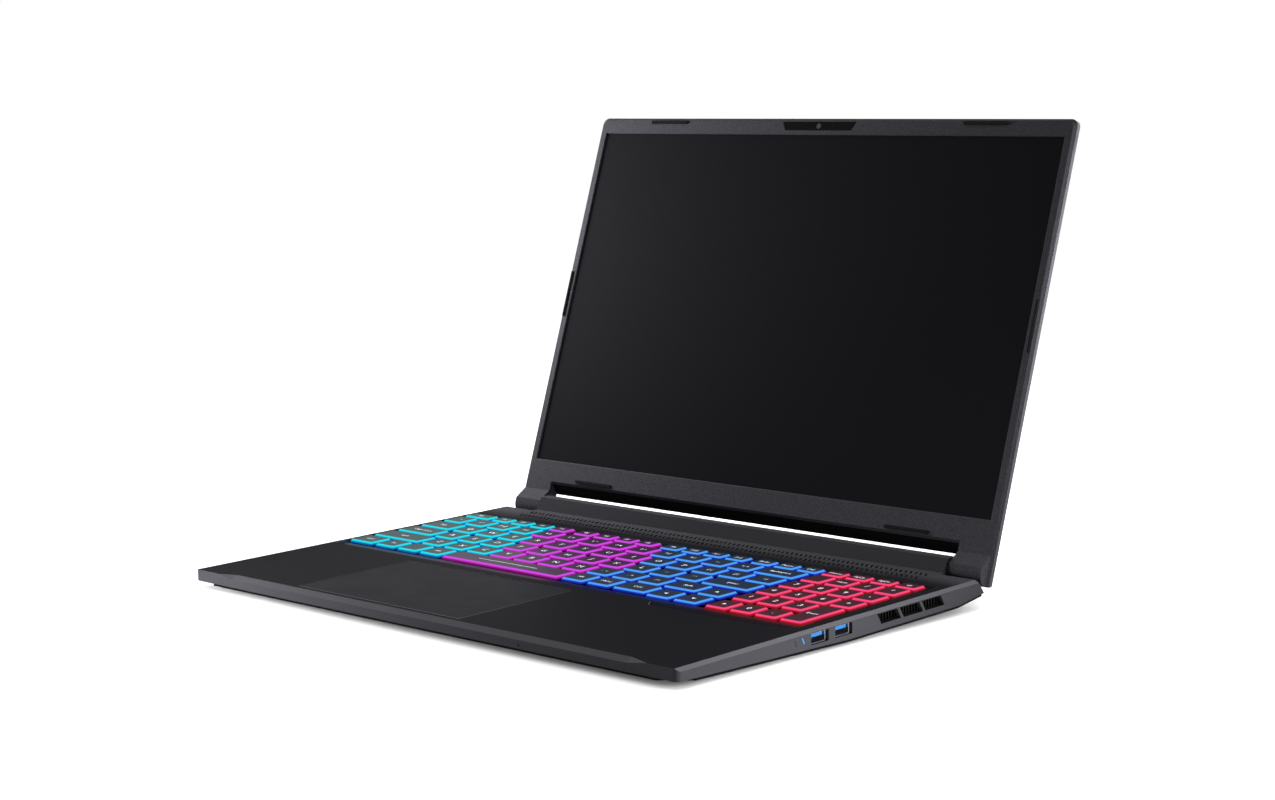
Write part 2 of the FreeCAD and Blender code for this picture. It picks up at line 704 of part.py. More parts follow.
def port_zones():
    """Zones of the walls round the right, left and rear sockets."""
    inner = BASE_HALF - SIDE_WALL
    right = box(inner, FAR, USB_FRONTS_RIGHT[0] - PORT_EDGE, USB_FRONTS_RIGHT[1] + USB_WIDTH + PORT_EDGE,
                -FAR, -CASE_WALL)
    left = box(-FAR, -inner, JACK_Y - JACK_COLLAR - PORT_EDGE, USB_FRONT_LEFT + USB_WIDTH + PORT_EDGE,
               -FAR, -CASE_WALL)
    rear = box(POWER_X - POWER_SIZE[0] / 2 - PORT_EDGE, USB_C_X[-1] + USB_C_SIZE[0] / 2 + PORT_EDGE,
               BASE_DEPTH - CASE_WALL, FAR, -FAR, REAR_GRILLE_TOP)
    return [right, left, rear]


def make_case(layout):
    """Upper case in three nodes: deck with its walls, rear bar, and the frames round the sockets."""
    deck = prism_x(case_profile(), -BASE_HALF, BASE_HALF)
    corners = [e for e in deck.Edges if abs(e.Vertexes[0].Y) < 1e-6 and abs(e.Vertexes[-1].Y) < 1e-6
               and abs(e.Vertexes[0].Z - e.Vertexes[-1].Z) > 1]
    deck = deck.makeFillet(FRONT_CORNER_RADIUS, corners)
    rear = box(-FAR, FAR, DECK_DEPTH - BAR_LAP, FAR, -FAR, FAR)
    bar = prism_x(bar_profile(), -BAR_HALF, BAR_HALF).common(rear)
    side_cut = prism_y([(BASE_HALF - SIDE_BEVEL_WIDTH, 0), (BASE_HALF, -SIDE_BEVEL_DROP),
                        (BASE_HALF + 1, -SIDE_BEVEL_DROP), (BASE_HALF + 1, 1),
                        (BASE_HALF - SIDE_BEVEL_WIDTH, 1)], -1, DECK_DEPTH + REAR_LEAN)
    shell = deck.cut([side_cut, mirrored(side_cut), front_bevel()]).fuse(bar)
    inner = BASE_HALF - SIDE_WALL
    room = prism_x(inset(case_profile(), CASE_WALL), -inner, inner)
    bar_room = prism_x(inset(bar_profile(), CASE_WALL), -BAR_HALF + CASE_WALL, BAR_HALF - CASE_WALL)
    shell = shell.cut([room, bar_room.common(rear), below_parting()])

    x0, x1, y0, y1 = key_field(layout)
    floor_z = -WELL_DROP - WELL_FLOOR
    well_pan = prism_z(inset(well_outline(), -CASE_WALL / 2), floor_z, -CASE_WALL / 2)
    well_pan = well_pan.common(box(-inner, inner, 0, FAR, -FAR, 0))
    skirt = box(x0 - SKIRT_WALL, x1 + SKIRT_WALL, y0 - SKIRT_WALL, y1 + SKIRT_WALL, PLATE_TOP, floor_z)
    shell = shell.fuse([well_pan, skirt])
    cuts = [prism_z(well_outline(), -WELL_DROP, 1), box(x0, x1, y0, y1, PLATE_TOP - 1, 1)]
    cuts.append(box(PAD_LEFT - PAD_GAP, PAD_RIGHT + PAD_GAP, PAD_FRONT - PAD_GAP, PAD_BACK + PAD_GAP, -4, 1))
    wall_in = BASE_HALF - SIDE_WALL - 1
    wall_out = BASE_HALF + 1
    cuts += exhaust_windows(EXHAUST_TOP_RIGHT, wall_in, wall_out)
    cuts += exhaust_windows(EXHAUST_TOP_LEFT, -wall_out, -wall_in)
    for y in USB_FRONTS_RIGHT:
        cuts.append(box(wall_in, wall_out, y, y + USB_WIDTH, USB_TOP - USB_HEIGHT, USB_TOP))
    left_end = USB_FRONT_LEFT + USB_WIDTH
    cuts.append(box(-wall_out, -wall_in, USB_FRONT_LEFT, left_end, USB_TOP - USB_HEIGHT, USB_TOP))
    cuts.append(rod_x(-wall_out, -wall_in, JACK_Y, JACK_Z, JACK_COLLAR + SLIP))
    for start in (-BAR_HALF - 1, BAR_HALF - 2 * CASE_WALL):
        cuts.append(rod_x(start, start + 2 * CASE_WALL + 1, HINGE_Y, HINGE_Z, BASE_KNUCKLE_RADIUS + 3 * SLIP))
    cuts += [leaning(y, y + LIGHT_WIDTH, LIGHT_TOP, LIGHT_HEIGHT, LIGHT_LEAN, wall_in, wall_out)
             for y in LIGHT_SLOTS]
    for _, x, (width, height) in rear_sockets():
        half = width / 2 + SLIP
        cuts.append(box(x - half, x + half, BASE_DEPTH - 2 * CASE_WALL, BASE_DEPTH + 1,
                        -WALL_REAR - 1, BOARD_TOP + height + SLIP))
    shell = shell.cut(cuts + rear_grille_slots() + vent_slots())
    frames = [deck_to_table(shell.common(zone)) for zone in port_zones()]
    shell = shell.cut(port_zones())
    bar_zone = box(-BAR_HALF, BAR_HALF, BAR_FRONT, FAR, -FAR, FAR)
    seats = []
    half = SEAT_WIDTH / 2
    for x, y in hinge_seats():
        seat = box(x - half, x + half, y - half, y + half, HINGE_Z - KNUCKLE_RADIUS, bar_top(y + half))
        seats += [seat, mirrored(seat)]
    bar = deck_to_table(joined(shell.common(bar_zone), seats))
    case = deck_to_table(shell.cut(bar_zone))
    posts = []
    bores = []
    for x, y in SCREW_PLACES:
        posts.append(post_z(x, y, FOOT_HEIGHT + COVER_WALL, under_deck(y), POST_RADIUS))
        bores.append(post_z(x, y, 0, FOOT_HEIGHT + SCREW_LENGTH + 1, SCREW_SHANK + RUNNING_CLEARANCE))
    return joined(case, posts).cut(bores), bar, Part.makeCompound(frames)


def bar_top(y):
    """Height of the middle of the rear bar's upper wall, behind its step."""
    fall = (BAR_STEP_HEIGHT - BAR_REAR_HEIGHT) / (BASE_DEPTH - BAR_STEP_END)
    return BAR_STEP_HEIGHT - fall * (y - BAR_STEP_END) - CASE_WALL / 2


def hinge_seats():
    """Places of the pads that the right hinge bracket is fixed to."""
    y = HINGE_Y + 14.0
    return ((BRACKET_START + SEAT_WIDTH, y), (KNUCKLE_END - 1.2 * SEAT_WIDTH, y))


def cover_outline():
    """Plan of the bottom cover."""
    half = BASE_HALF - COVER_INSET
    rear_half = BAR_HALF - COVER_INSET
    step_y = DECK_DEPTH + REAR_LEAN - 2 * COVER_INSET
    right = [(half - COVER_CORNER, COVER_INSET * 2), (half, COVER_CORNER), (half, step_y),
             (rear_half, step_y), (rear_half, BASE_DEPTH - COVER_INSET)]
    return right + [(-x, y) for x, y in right[::-1]]


def cover_belly(lift, side):
    """Sloped tray shape, lifted from the cover's underside and drawn in from its sides."""
    low = FOOT_HEIGHT + lift
    high = FOOT_HEIGHT + COVER_SLOPE_RISE
    slope = COVER_SLOPE_RUN / COVER_SLOPE_RISE
    sections = []
    for z in (low, high):
        draw = side + slope * (high - z)
        sections.append([V(x, y, z) for x, y in inset(cover_outline(), draw)])
    return ruled(*sections)


def make_bottom_cover():
    """Lower shell with intake slots, speaker slots and screw holes."""
    below = deck_to_table(below_parting())
    band = below.cut(deck_to_table(below_parting(COVER_RIM)))
    rim = prism_z(cover_outline(), -DEEP, DEEP).common(band)
    cover = joined(cover_belly(0, SLIP).common(below), [rim]).cut(cover_belly(COVER_WALL, COVER_SIDE))
    slots = []
    width, length = INTAKE_SLOT
    columns, rows = INTAKE_COUNT
    for i in range(columns):
        for j in range(rows):
            x = FAN_X + (i - (columns - 1) / 2) * INTAKE_PITCH[0]
            y = FAN_Y + (j - (rows - 1) / 2) * INTAKE_PITCH[1]
            slots.append(box(x - width / 2, x + width / 2, y - length / 2, y + length / 2, 0, DEEP))
    width, length = SPEAKER_SLOT
    y = (SPEAKER_FRONT + SPEAKER_BACK) / 2
    for i in range(SPEAKER_SLOTS):
        x = SPEAKER_IN + SPEAKER_EDGE + i * SPEAKER_SLOT_PITCH
        slots.append(box(x - width / 2, x + width / 2, y - length / 2, y + length / 2, 0, DEEP))
    holes = []
    for x, y in SCREW_PLACES:
        holes.append(post_z(x, y, 0, DEEP, SCREW_SHANK + SLIP))
        holes.append(head_z(x, y, FOOT_HEIGHT, SCREW_HEAD + SLIP, SCREW_SHANK + SLIP, SCREW_HEAD_HEIGHT))
    return cover.cut(slots + [mirrored(slot) for slot in slots] + holes)


def make_screws():
    """Countersunk screws that hold the bottom cover."""
    screws = []
    for x, y in SCREW_PLACES:
        head = head_z(x, y, FOOT_HEIGHT, SCREW_HEAD, SCREW_SHANK, SCREW_HEAD_HEIGHT)
        shank = post_z(x, y, FOOT_HEIGHT + SCREW_HEAD_HEIGHT, FOOT_HEIGHT + SCREW_LENGTH, SCREW_SHANK)
        screws.append(joined(head, [shank]))
    return Part.makeCompound(screws)


def make_feet():
    """Rubber feet under the bottom cover."""
    front = [pad_block(x, FRONT_FOOT_Y, FRONT_FOOT_LENGTH, FOOT_WIDTH, 0, FOOT_HEIGHT, FOOT_CORNER)
             for x in (-FRONT_FOOT_X, FRONT_FOOT_X)]
    rear = pad_block(0, REAR_FOOT_Y, REAR_FOOT_LENGTH, FOOT_WIDTH, 0, FOOT_HEIGHT, FOOT_CORNER)
    return Part.makeCompound(front), rear


def make_keyboard_plate(layout):
    """Metal plate under the keys, with a guide slot for the stems of each row."""
    x0, x1, y0, y1 = key_field(layout)
    plate = box(x0 - SKIRT_WALL, x1 + SKIRT_WALL, y0 - SKIRT_WALL, y1 + SKIRT_WALL, PLATE_BOTTOM, PLATE_TOP)
    rows = {}
    for group in layout.values():
        for key in group:
            for x, y in stem_places(key):
                rows.setdefault(round(y, 3), []).append(x)
    half = STEM_WIDTH / 2 + STEM_GAP
    slots = [box(min(places) - half, max(places) + half, y - half, y + half, PLATE_BOTTOM - 1, PLATE_TOP + 1)
             for y, places in rows.items()]
    return plate.cut(slots)


def make_touchpad():
    """Click plate of the touchpad."""
    wire = rounded_wire(PAD_LEFT, PAD_RIGHT, PAD_FRONT, PAD_BACK, -PAD_SINK - PAD_THICK, PAD_RADIUS)
    return Part.Face(wire).extrude(V(0, 0, PAD_THICK))


def make_touchpad_bracket():
    """Tray under the touchpad, fixed to the deck at its sides and carrying the pad's back edge."""
    reach = PAD_GAP + 6
    top = -BRACKET_DROP
    tray = box(PAD_LEFT - reach, PAD_RIGHT + reach, PAD_FRONT + 2, PAD_BACK, top - BRACKET_THICK, top)
    rib = box(PAD_LEFT + 4, PAD_RIGHT - 4, PAD_BACK - 6, PAD_BACK - 1, top, -PAD_SINK - PAD_THICK - SLIP)
    lugs = [box(x, x + reach - PAD_GAP - 1, PAD_FRONT + 6, PAD_BACK - 6, top, -CASE_WALL)
            for x in (PAD_LEFT - reach, PAD_RIGHT + PAD_GAP + 1)]
    return joined(tray, [rib] + lugs)


def usb_places():
    """Each USB socket: front Y and the side it is on."""
    return [(y, 1) for y in USB_FRONTS_RIGHT] + [(USB_FRONT_LEFT, -1)]


def make_usb():
    """Metal shells and their tongues, drawn on the right side and mirrored for the left."""
    shells = []
    tongues = []
    end = BASE_HALF - SIDE_WALL
    start = end - USB_DEPTH
    mouth = end + SIDE_WALL / 2
    top = USB_TOP - SLIP
    low = USB_TOP - USB_HEIGHT + SLIP
    tongue_top = top - USB_SHELL - USB_TONGUE_DROP
    for front, side in usb_places():
        y0 = front + SLIP
        y1 = y0 + USB_SHELL_WIDTH
        shell = box(start, mouth, y0, y1, low, top)
        shell = shell.cut(box(start + USB_SHELL, mouth + 1, y0 + USB_SHELL, y1 - USB_SHELL,
                              low + USB_SHELL, top - USB_SHELL))
        tongue = box(start + USB_SHELL, mouth - 3 * USB_SHELL, y0 + 2.5 * USB_SHELL, y1 - 2.5 * USB_SHELL,
                     tongue_top - USB_TONGUE, tongue_top)
        shells.append(shell if side > 0 else mirrored(shell))
        tongues.append(tongue if side > 0 else mirrored(tongue))
    return Part.makeCompound(shells), Part.makeCompound(tongues)


def make_port_boards():
    """Small boards that carry the side sockets."""
    outer = BASE_HALF - SIDE_WALL - SLIP
    inner = outer - PORT_BOARD_WIDTH
    top = USB_TOP - USB_HEIGHT + SLIP
    low = top - PORT_BOARD_THICK
    right = box(inner, outer, USB_FRONTS_RIGHT[0] - SLIP, USB_FRONTS_RIGHT[1] + USB_WIDTH, low, top)
    left = box(-outer, -inner, JACK_Y - JACK_BODY / 2 - 1, USB_FRONT_LEFT + USB_WIDTH, low, top)
    return Part.makeCompound([left, right])


def make_audio_socket():
    """Round audio socket with a collar that fills the hole in the wall."""
    wall = -BASE_HALF + SIDE_WALL
    end = wall + JACK_DEPTH
    half = JACK_BODY / 2
    body = box(wall, end, JACK_Y - half, JACK_Y + half, USB_TOP - USB_HEIGHT + SLIP, JACK_Z + JACK_COLLAR)
    collar = rod_x(-BASE_HALF, wall, JACK_Y, JACK_Z, JACK_COLLAR)
    bore = rod_x(-BASE_HALF - 1, end - JACK_END, JACK_Y, JACK_Z, JACK_BORE)
    return joined(body, [collar]).cut(bore)


def make_rear_socket(x, size):
    """Rear socket: a hollow shell with a tongue, standing on the main board."""
    width, height = size
    half = width / 2
    end = BASE_DEPTH - CASE_WALL / 2
    start = BASE_DEPTH - CASE_WALL - REAR_SOCKET_DEPTH
    rim = SOCKET_RIM
    shell = box(x - half, x + half, start, end, BOARD_TOP, BOARD_TOP + height)
    room = box(x - half + rim, x + half - rim, start + 4 * rim, end + 1,
               BOARD_TOP + rim, BOARD_TOP + height - rim)
    low = BOARD_TOP + (height - SOCKET_TONGUE) / 2
    tongue = box(x - width / 3, x + width / 3, start + rim, end - 3 * rim, low, low + SOCKET_TONGUE)
    return joined(shell.cut(room), [tongue])


def make_status_lights():
    """Two leaning light pipes in the right wall."""
    inner = BASE_HALF - SIDE_WALL - 0.5
    lights = []
    for y in LIGHT_SLOTS:
        lights.append(leaning(y + SLIP, y + LIGHT_WIDTH - SLIP, LIGHT_TOP - SLIP, LIGHT_HEIGHT - 2 * SLIP,
                              LIGHT_LEAN, inner, BASE_HALF - SLIP))
    return Part.makeCompound(lights)


def comb_y(x0, x1, y0, y1, z0, z1, pitch, thick):
    """Upright fins side by side along Y between two rails."""
    rails = [box(x0, x1, y0, y1, z0, z0 + thick), box(x0, x1, y0, y1, z1 - thick, z1)]
    count = int((y1 - y0 - thick) / pitch) + 1
    fins = [box(x0, x1, y0 + i * pitch, y0 + i * pitch + thick, z0, z1) for i in range(count)]
    return joined(rails[0], rails[1:] + fins)


def comb_x(x0, x1, y0, y1, z0, z1, pitch, thick):
    """Upright fins side by side along X between two rails."""
    rails = [box(x0, x1, y0, y1, z0, z0 + thick), box(x0, x1, y0, y1, z1 - thick, z1)]
    count = int((x1 - x0 - thick) / pitch) + 1
    fins = [box(x0 + i * pitch, x0 + i * pitch + thick, y0, y1, z0, z1) for i in range(count)]
    return joined(rails[0], rails[1:] + fins)


def exhaust_length():
    """Y range that the side exhaust windows take up."""
    step = EXHAUST_WINDOW + EXHAUST_BAR
    return EXHAUST_START, EXHAUST_START + EXHAUST_COUNT * step - EXHAUST_BAR + EXHAUST_LEAN


def make_vent_grilles():
    """Fine grilles just behind the side exhaust windows."""
    start, end = exhaust_length()
    x1 = BASE_HALF - SIDE_WALL - SLIP
    x0 = x1 - GRILLE_DEPTH
    grilles = []
    for top, flip in ((EXHAUST_TOP_RIGHT, False), (EXHAUST_TOP_LEFT, True)):
        high = top + SLIP
        grille = comb_y(x0, x1, start, end, high - EXHAUST_HEIGHT - 4 * SLIP, high, GRILLE_PITCH, GRILLE_FIN)
        grilles.append(mirrored(grille) if flip else grille)
    return Part.makeCompound(grilles)


def make_fin_stacks():
    """Fin stacks of the right fan: one at the side windows and one at the rear wall."""
    start, end = exhaust_length()
    outer = BASE_HALF - SIDE_WALL - GRILLE_DEPTH - 3 * SLIP
    inner = max(FAN_X + FAN_WIDTH / 2 + SLIP, outer - SIDE_FINS_DEPTH)
    side = comb_y(inner, outer, start, end, FAN_TOP - FAN_HEIGHT, FAN_TOP, FIN_PITCH, FIN_THICK)
    back = BASE_DEPTH - CASE_WALL - SLIP
    rear = comb_x(REAR_FINS_IN, REAR_FINS_OUT, back - REAR_FINS_DEPTH, back,
                  REAR_FINS_BOTTOM, REAR_FINS_TOP, FIN_PITCH, FIN_THICK)
    return Part.makeCompound([side, rear])


def make_fan_housing():
    """Right blower housing: air in from below and out to the back and the side, spindle under its top."""
    x0 = FAN_X - FAN_WIDTH / 2
    x1 = FAN_X + FAN_WIDTH / 2
    y0 = FAN_Y - FAN_LENGTH / 2
    y1 = FAN_Y + FAN_LENGTH / 2
    low = FAN_TOP - FAN_HEIGHT
    floor = low + FAN_PLATE
    ceiling = FAN_TOP - FAN_PLATE
    chamber = post_z(FAN_X, FAN_Y, floor, ceiling, FAN_BORE, FAN_SIDES)
    rear_duct = box(FAN_X - FAN_BORE, FAN_X + FAN_BORE, FAN_Y, y1 + 1, floor, ceiling)
    side_duct = box(FAN_X, x1 + 1, FAN_Y - FAN_INLET, FAN_Y + FAN_INLET, floor, ceiling)
    inlet = post_z(FAN_X, FAN_Y, low - 1, ceiling, FAN_INLET, FAN_SIDES)
    spindle = rod_z(FAN_X, FAN_Y, ceiling - SPINDLE_LENGTH, ceiling, SPINDLE_RADIUS)
    return joined(box(x0, x1, y0, y1, low, FAN_TOP).cut([chamber, rear_duct, side_duct, inlet]), [spindle])


def make_fan_rotor():
    """Right blower wheel: a hub with backward-leaning blades and a blind bore on the spindle."""
    low = FAN_TOP - FAN_HEIGHT + FAN_PLATE + ROTOR_GAP
    high = FAN_TOP - FAN_PLATE - ROTOR_GAP
    hub = post_z(FAN_X, FAN_Y, low, high, ROTOR_HUB, FAN_SIDES)
    reach = ROTOR_RADIUS - ROTOR_HUB
    blades = []
    for i in range(BLADE_COUNT):
        blade = box(0, reach, -BLADE_THICK / 2, BLADE_THICK / 2, low, high)
        blade.rotate(V(0, 0, 0), V(0, 0, 1), -BLADE_TURN)
        blade.translate(V(FAN_X + ROTOR_HUB - 1, FAN_Y, 0))
        blade.rotate(V(FAN_X, FAN_Y, 0), V(0, 0, 1), i * 360 / BLADE_COUNT)
        blades.append(blade)
    bore_end = FAN_TOP - FAN_PLATE - SPINDLE_LENGTH - ROTOR_GAP
    bore = rod_z(FAN_X, FAN_Y, bore_end, high + 1, SPINDLE_RADIUS + RUNNING_CLEARANCE)
    return joined(hub, blades).cut(bore)


def make_main_board():
    """Main circuit board with a tongue that reaches the rear sockets."""
    back = REAR_TONGUE_BACK
    outline = [(-BOARD_HALF, BOARD_FRONT), (BOARD_HALF, BOARD_FRONT), (BOARD_HALF, BOARD_BACK),
               (REAR_TONGUE_HALF, BOARD_BACK), (REAR_TONGUE_HALF, back), (-REAR_TONGUE_HALF, back),
               (-REAR_TONGUE_HALF, BOARD_BACK), (-BOARD_HALF, BOARD_BACK)]
    board = prism_z(outline, BOARD_TOP - BOARD_THICK, BOARD_TOP)
    holes = [post_z(x, y, -FAR, FAR, POST_RADIUS + BOARD_GAP) for x, y in SCREW_PLACES]
    return board.cut(holes)


def make_processor_plates():
    """Copper plates on the two large chips."""
    half = CHIP_PLATE / 2
    return Part.makeCompound([box(x - half, x + half, y - half, y + half, BOARD_TOP, BOARD_TOP + PLATE_RISE)
                              for x, y in CHIP_PLACES])


def ribbon(points, width, z0, z1):
    """Flat pipe of one width along a run of points in plan, with mitred turns."""
    left = []
    right = []
    for i, (x, y) in enumerate(points):
        ways = [(points[j + 1][0] - points[j][0], points[j + 1][1] - points[j][1])
                for j in (i - 1, i) if 0 <= j < len(points) - 1]
        ways = [(dx / math.hypot(dx, dy), dy / math.hypot(dx, dy)) for dx, dy in ways]
        nx = sum(-dy for dx, dy in ways) / len(ways)
        ny = sum(dx for dx, dy in ways) / len(ways)
        share = width / 2 / (nx * nx + ny * ny)
        left.append((x + nx * share, y + ny * share))
        right.append((x - nx * share, y - ny * share))
    return prism_z(left + right[::-1], z0, z1)


def make_heat_pipes():
    """Flat heat pipes from the two chips to the rear fin stacks, two on each side."""
    low = BOARD_TOP + PLATE_RISE
    fins_front = BASE_DEPTH - CASE_WALL - SLIP - REAR_FINS_DEPTH
    end_x = REAR_FINS_OUT - PIPE_WIDTH
    pipes = []
    for side, (x, y) in zip((-1, 1), CHIP_PLACES):
        for i in range(2):
            run_y = fins_front - SLIP - PIPE_WIDTH / 2 - i * PIPE_STEP
            start_x = x + side * (i - 0.5) * PIPE_STEP
            turn_x = start_x + side * (run_y - PIPE_BEND_Y)
            path = [(start_x, y - CHIP_PLATE / 2), (start_x, PIPE_BEND_Y), (turn_x, run_y),
                    (side * end_x, run_y)]
            pipes.append(ribbon(path, PIPE_WIDTH, low, low + PIPE_THICK))
    return Part.makeCompound(pipes)


def card(x0, x1, y0, y1, chips):
    """Circuit card on the main board, with a row of flat chips along its longer side."""
    top = BOARD_TOP + CARD_THICK
    edge = min(x1 - x0, y1 - y0) * 0.15
    base = box(x0, x1, y0, y1, BOARD_TOP, top)
    pieces = []
    for i in range(chips):
        start = i / chips
        end = (i + 1) / chips
        if x1 - x0 > y1 - y0:
            sides = (x0 + (x1 - x0) * start + edge, x0 + (x1 - x0) * end - edge, y0 + edge, y1 - edge)
        else:
            sides = (x0 + edge, x1 - edge, y0 + (y1 - y0) * start + edge, y0 + (y1 - y0) * end - edge)
        pieces.append(box(*sides, top, top + CHIP_THICK))
    return joined(base, pieces)


def make_memory():
    """Memory cards at both sides of the main board."""
    inner = MEMORY_X - MEMORY_WIDTH / 2
    right = card(inner, inner + MEMORY_WIDTH, BOARD_FRONT + 2, BOARD_FRONT + 2 + MEMORY_LENGTH, 4)
    return Part.makeCompound([mirrored(right), right])


def make_storage():
    """Slim storage drive at the front of the main board."""
    half = STORAGE_WIDTH / 2
    return card(-half, half, BOARD_FRONT + 3, BOARD_FRONT + 3 + STORAGE_LENGTH, 2)


def make_wireless_card():
    """Small radio card near the back of the main board."""
    end = MEMORY_X + RADIO_WIDTH / 2
    return card(end - RADIO_WIDTH, end, BOARD_BACK - 8 - RADIO_LENGTH, BOARD_BACK - 8, 1)


def make_battery():
    """Battery pack: flat cells side by side on a tray."""
    low = BATTERY_TOP - BATTERY_THICK
    tray = box(-BATTERY_HALF, BATTERY_HALF, BATTERY_FRONT, BATTERY_BACK, low, low + BATTERY_THICK / 4)
    step = (2 * BATTERY_HALF - CELL_GAP) / CELL_COUNT
    cells = []
    for i in range(CELL_COUNT):
        x = -BATTERY_HALF + CELL_GAP + i * step
        cells.append(box(x, x + step - CELL_GAP, BATTERY_FRONT + CELL_GAP, BATTERY_BACK - CELL_GAP,
                         low, BATTERY_TOP))
    return joined(tray, cells)


def make_speaker():
    """Speaker box in the right front corner, hollowed under its cone."""
    low = SPEAKER_TOP - SPEAKER_HEIGHT
    edge = SPEAKER_EDGE
    body = box(SPEAKER_IN, SPEAKER_OUT, SPEAKER_FRONT, SPEAKER_BACK, low, SPEAKER_TOP)
    mouth = cut_corners(SPEAKER_IN + edge, SPEAKER_OUT - edge, SPEAKER_FRONT + edge, SPEAKER_BACK - edge,
                        low - SLIP, edge)
    back = cut_corners(SPEAKER_IN + 2 * edge, SPEAKER_OUT - 2 * edge, SPEAKER_FRONT + 2 * edge,
                       SPEAKER_BACK - 2 * edge, low + SPEAKER_HEIGHT / 2, edge / 2)
    return body.cut(ruled(mouth, back))


def make_hinge_bracket():
    """Right hinge bracket: a plate under the rear bar and a knuckle round the shaft."""
    top = HINGE_Z - KNUCKLE_RADIUS
    low = top - BRACKET_PLATE
    end = BAR_HALF - CASE_WALL - SLIP
    half = SHAFT_RADIUS
    back = hinge_seats()[0][1] + SEAT_WIDTH
    plate = box(BRACKET_START, end, HINGE_Y - half, back, low, top)
    web = box(KNUCKLE_START, end, HINGE_Y - half, HINGE_Y + half, low, HINGE_Z)
    knuckle = rod_x(KNUCKLE_START, KNUCKLE_END, HINGE_Y, HINGE_Z, BASE_KNUCKLE_RADIUS)
    bore = rod_x(KNUCKLE_START - 1, KNUCKLE_END + 1, HINGE_Y, HINGE_Z, SHAFT_RADIUS + RUNNING_CLEARANCE)
    return joined(plate, [web, knuckle]).cut(bore)


def end_profile():
    """Side outline of the lid's ends, with the round hinge block at the foot, as a face in the lid frame."""
    shift_y, shift_z = BLOCK_SHIFT
    front = shift_z + BLOCK_RADIUS
    points = [V(0, shift_y, LID_BACK), V(0, LID_TOP, LID_BACK), V(0, LID_TOP, LID_FRONT),
              V(0, SHOULDER_TOP, LID_FRONT), V(0, SHOULDER_EDGE, front), V(0, shift_y, front)]
    edges = [Part.LineSegment(a, b).toShape() for a, b in zip(points, points[1:])]
    foot = V(0, shift_y - BLOCK_RADIUS, shift_z)
    edges.append(Part.Arc(points[-1], foot, points[0]).toShape())
    return Part.Face(Part.Wire(edges))


def lid_outline(half, top, z):
    """Plan of the lid with round upper corners, as a wire."""
    low = -20.0
    radius = LID_CORNER
    slant = radius * math.sqrt(0.5)
    a = V(half, top - radius, z)
    b = V(half - radius, top, z)
    c = V(-half + radius, top, z)
    d = V(-half, top - radius, z)
    right = V(half - radius + slant, top - radius + slant, z)
    left = V(-half + radius - slant, top - radius + slant, z)
    return Part.Wire([Part.LineSegment(V(-half, low, z), V(half, low, z)).toShape(),
                      Part.LineSegment(V(half, low, z), a).toShape(), Part.Arc(a, right, b).toShape(),
                      Part.LineSegment(b, c).toShape(), Part.Arc(c, left, d).toShape(),
                      Part.LineSegment(d, V(-half, low, z)).toShape()])


def lid_body():
    """Whole outer form of the lid before it is parted into bezel and back cover."""
    outline = [(NOTCH_TOP, LID_FRONT), (LID_TOP, LID_FRONT), (LID_TOP, LID_BACK), (NOTCH_BACK, LID_BACK)]
    middle = prism_x(outline, -NOTCH_HALF, NOTCH_HALF)
    end = end_profile()
    end.translate(V(NOTCH_HALF, 0, 0))
    right = end.extrude(V(LID_HALF - NOTCH_HALF, 0, 0))
    return joined(middle, [right, mirrored(right)])


def hinge_room():
    """Hollow in the right hinge block for the arm and the shaft."""
    turn = rod_x(NOTCH_HALF - 1, ARM_END + ARM_ROOM, 0, 0, KNUCKLE_RADIUS + ARM_ROOM)
    slot = box(NOTCH_HALF - 1, ARM_END + ARM_ROOM, -KNUCKLE_RADIUS, NOTCH_TOP + 6, LID_BACK + LID_WALL, SEAM)
    slot = slot.common(box(NOTCH_HALF + LID_WALL, FAR, -FAR, FAR, -FAR, FAR))
    return joined(turn, [slot])


def panel_size():
    """Display panel rectangle (half width, lower edge, upper edge)."""
    return (WINDOW_WIDTH / 2 + PANEL_BORDER, WINDOW_BOTTOM - PANEL_BORDER,
            WINDOW_BOTTOM + WINDOW_HEIGHT + PANEL_BORDER)


def camera_outline(grow):
    """Plan of the camera window."""
    low = CAMERA_Y - CAMERA_HEIGHT / 2 - grow
    high = CAMERA_Y + CAMERA_HEIGHT / 2 + grow
    return [(-CAMERA_HALF_BOTTOM - grow, low), (CAMERA_HALF_BOTTOM + grow, low),
            (CAMERA_HALF_TOP + grow, high), (-CAMERA_HALF_TOP - grow, high)]


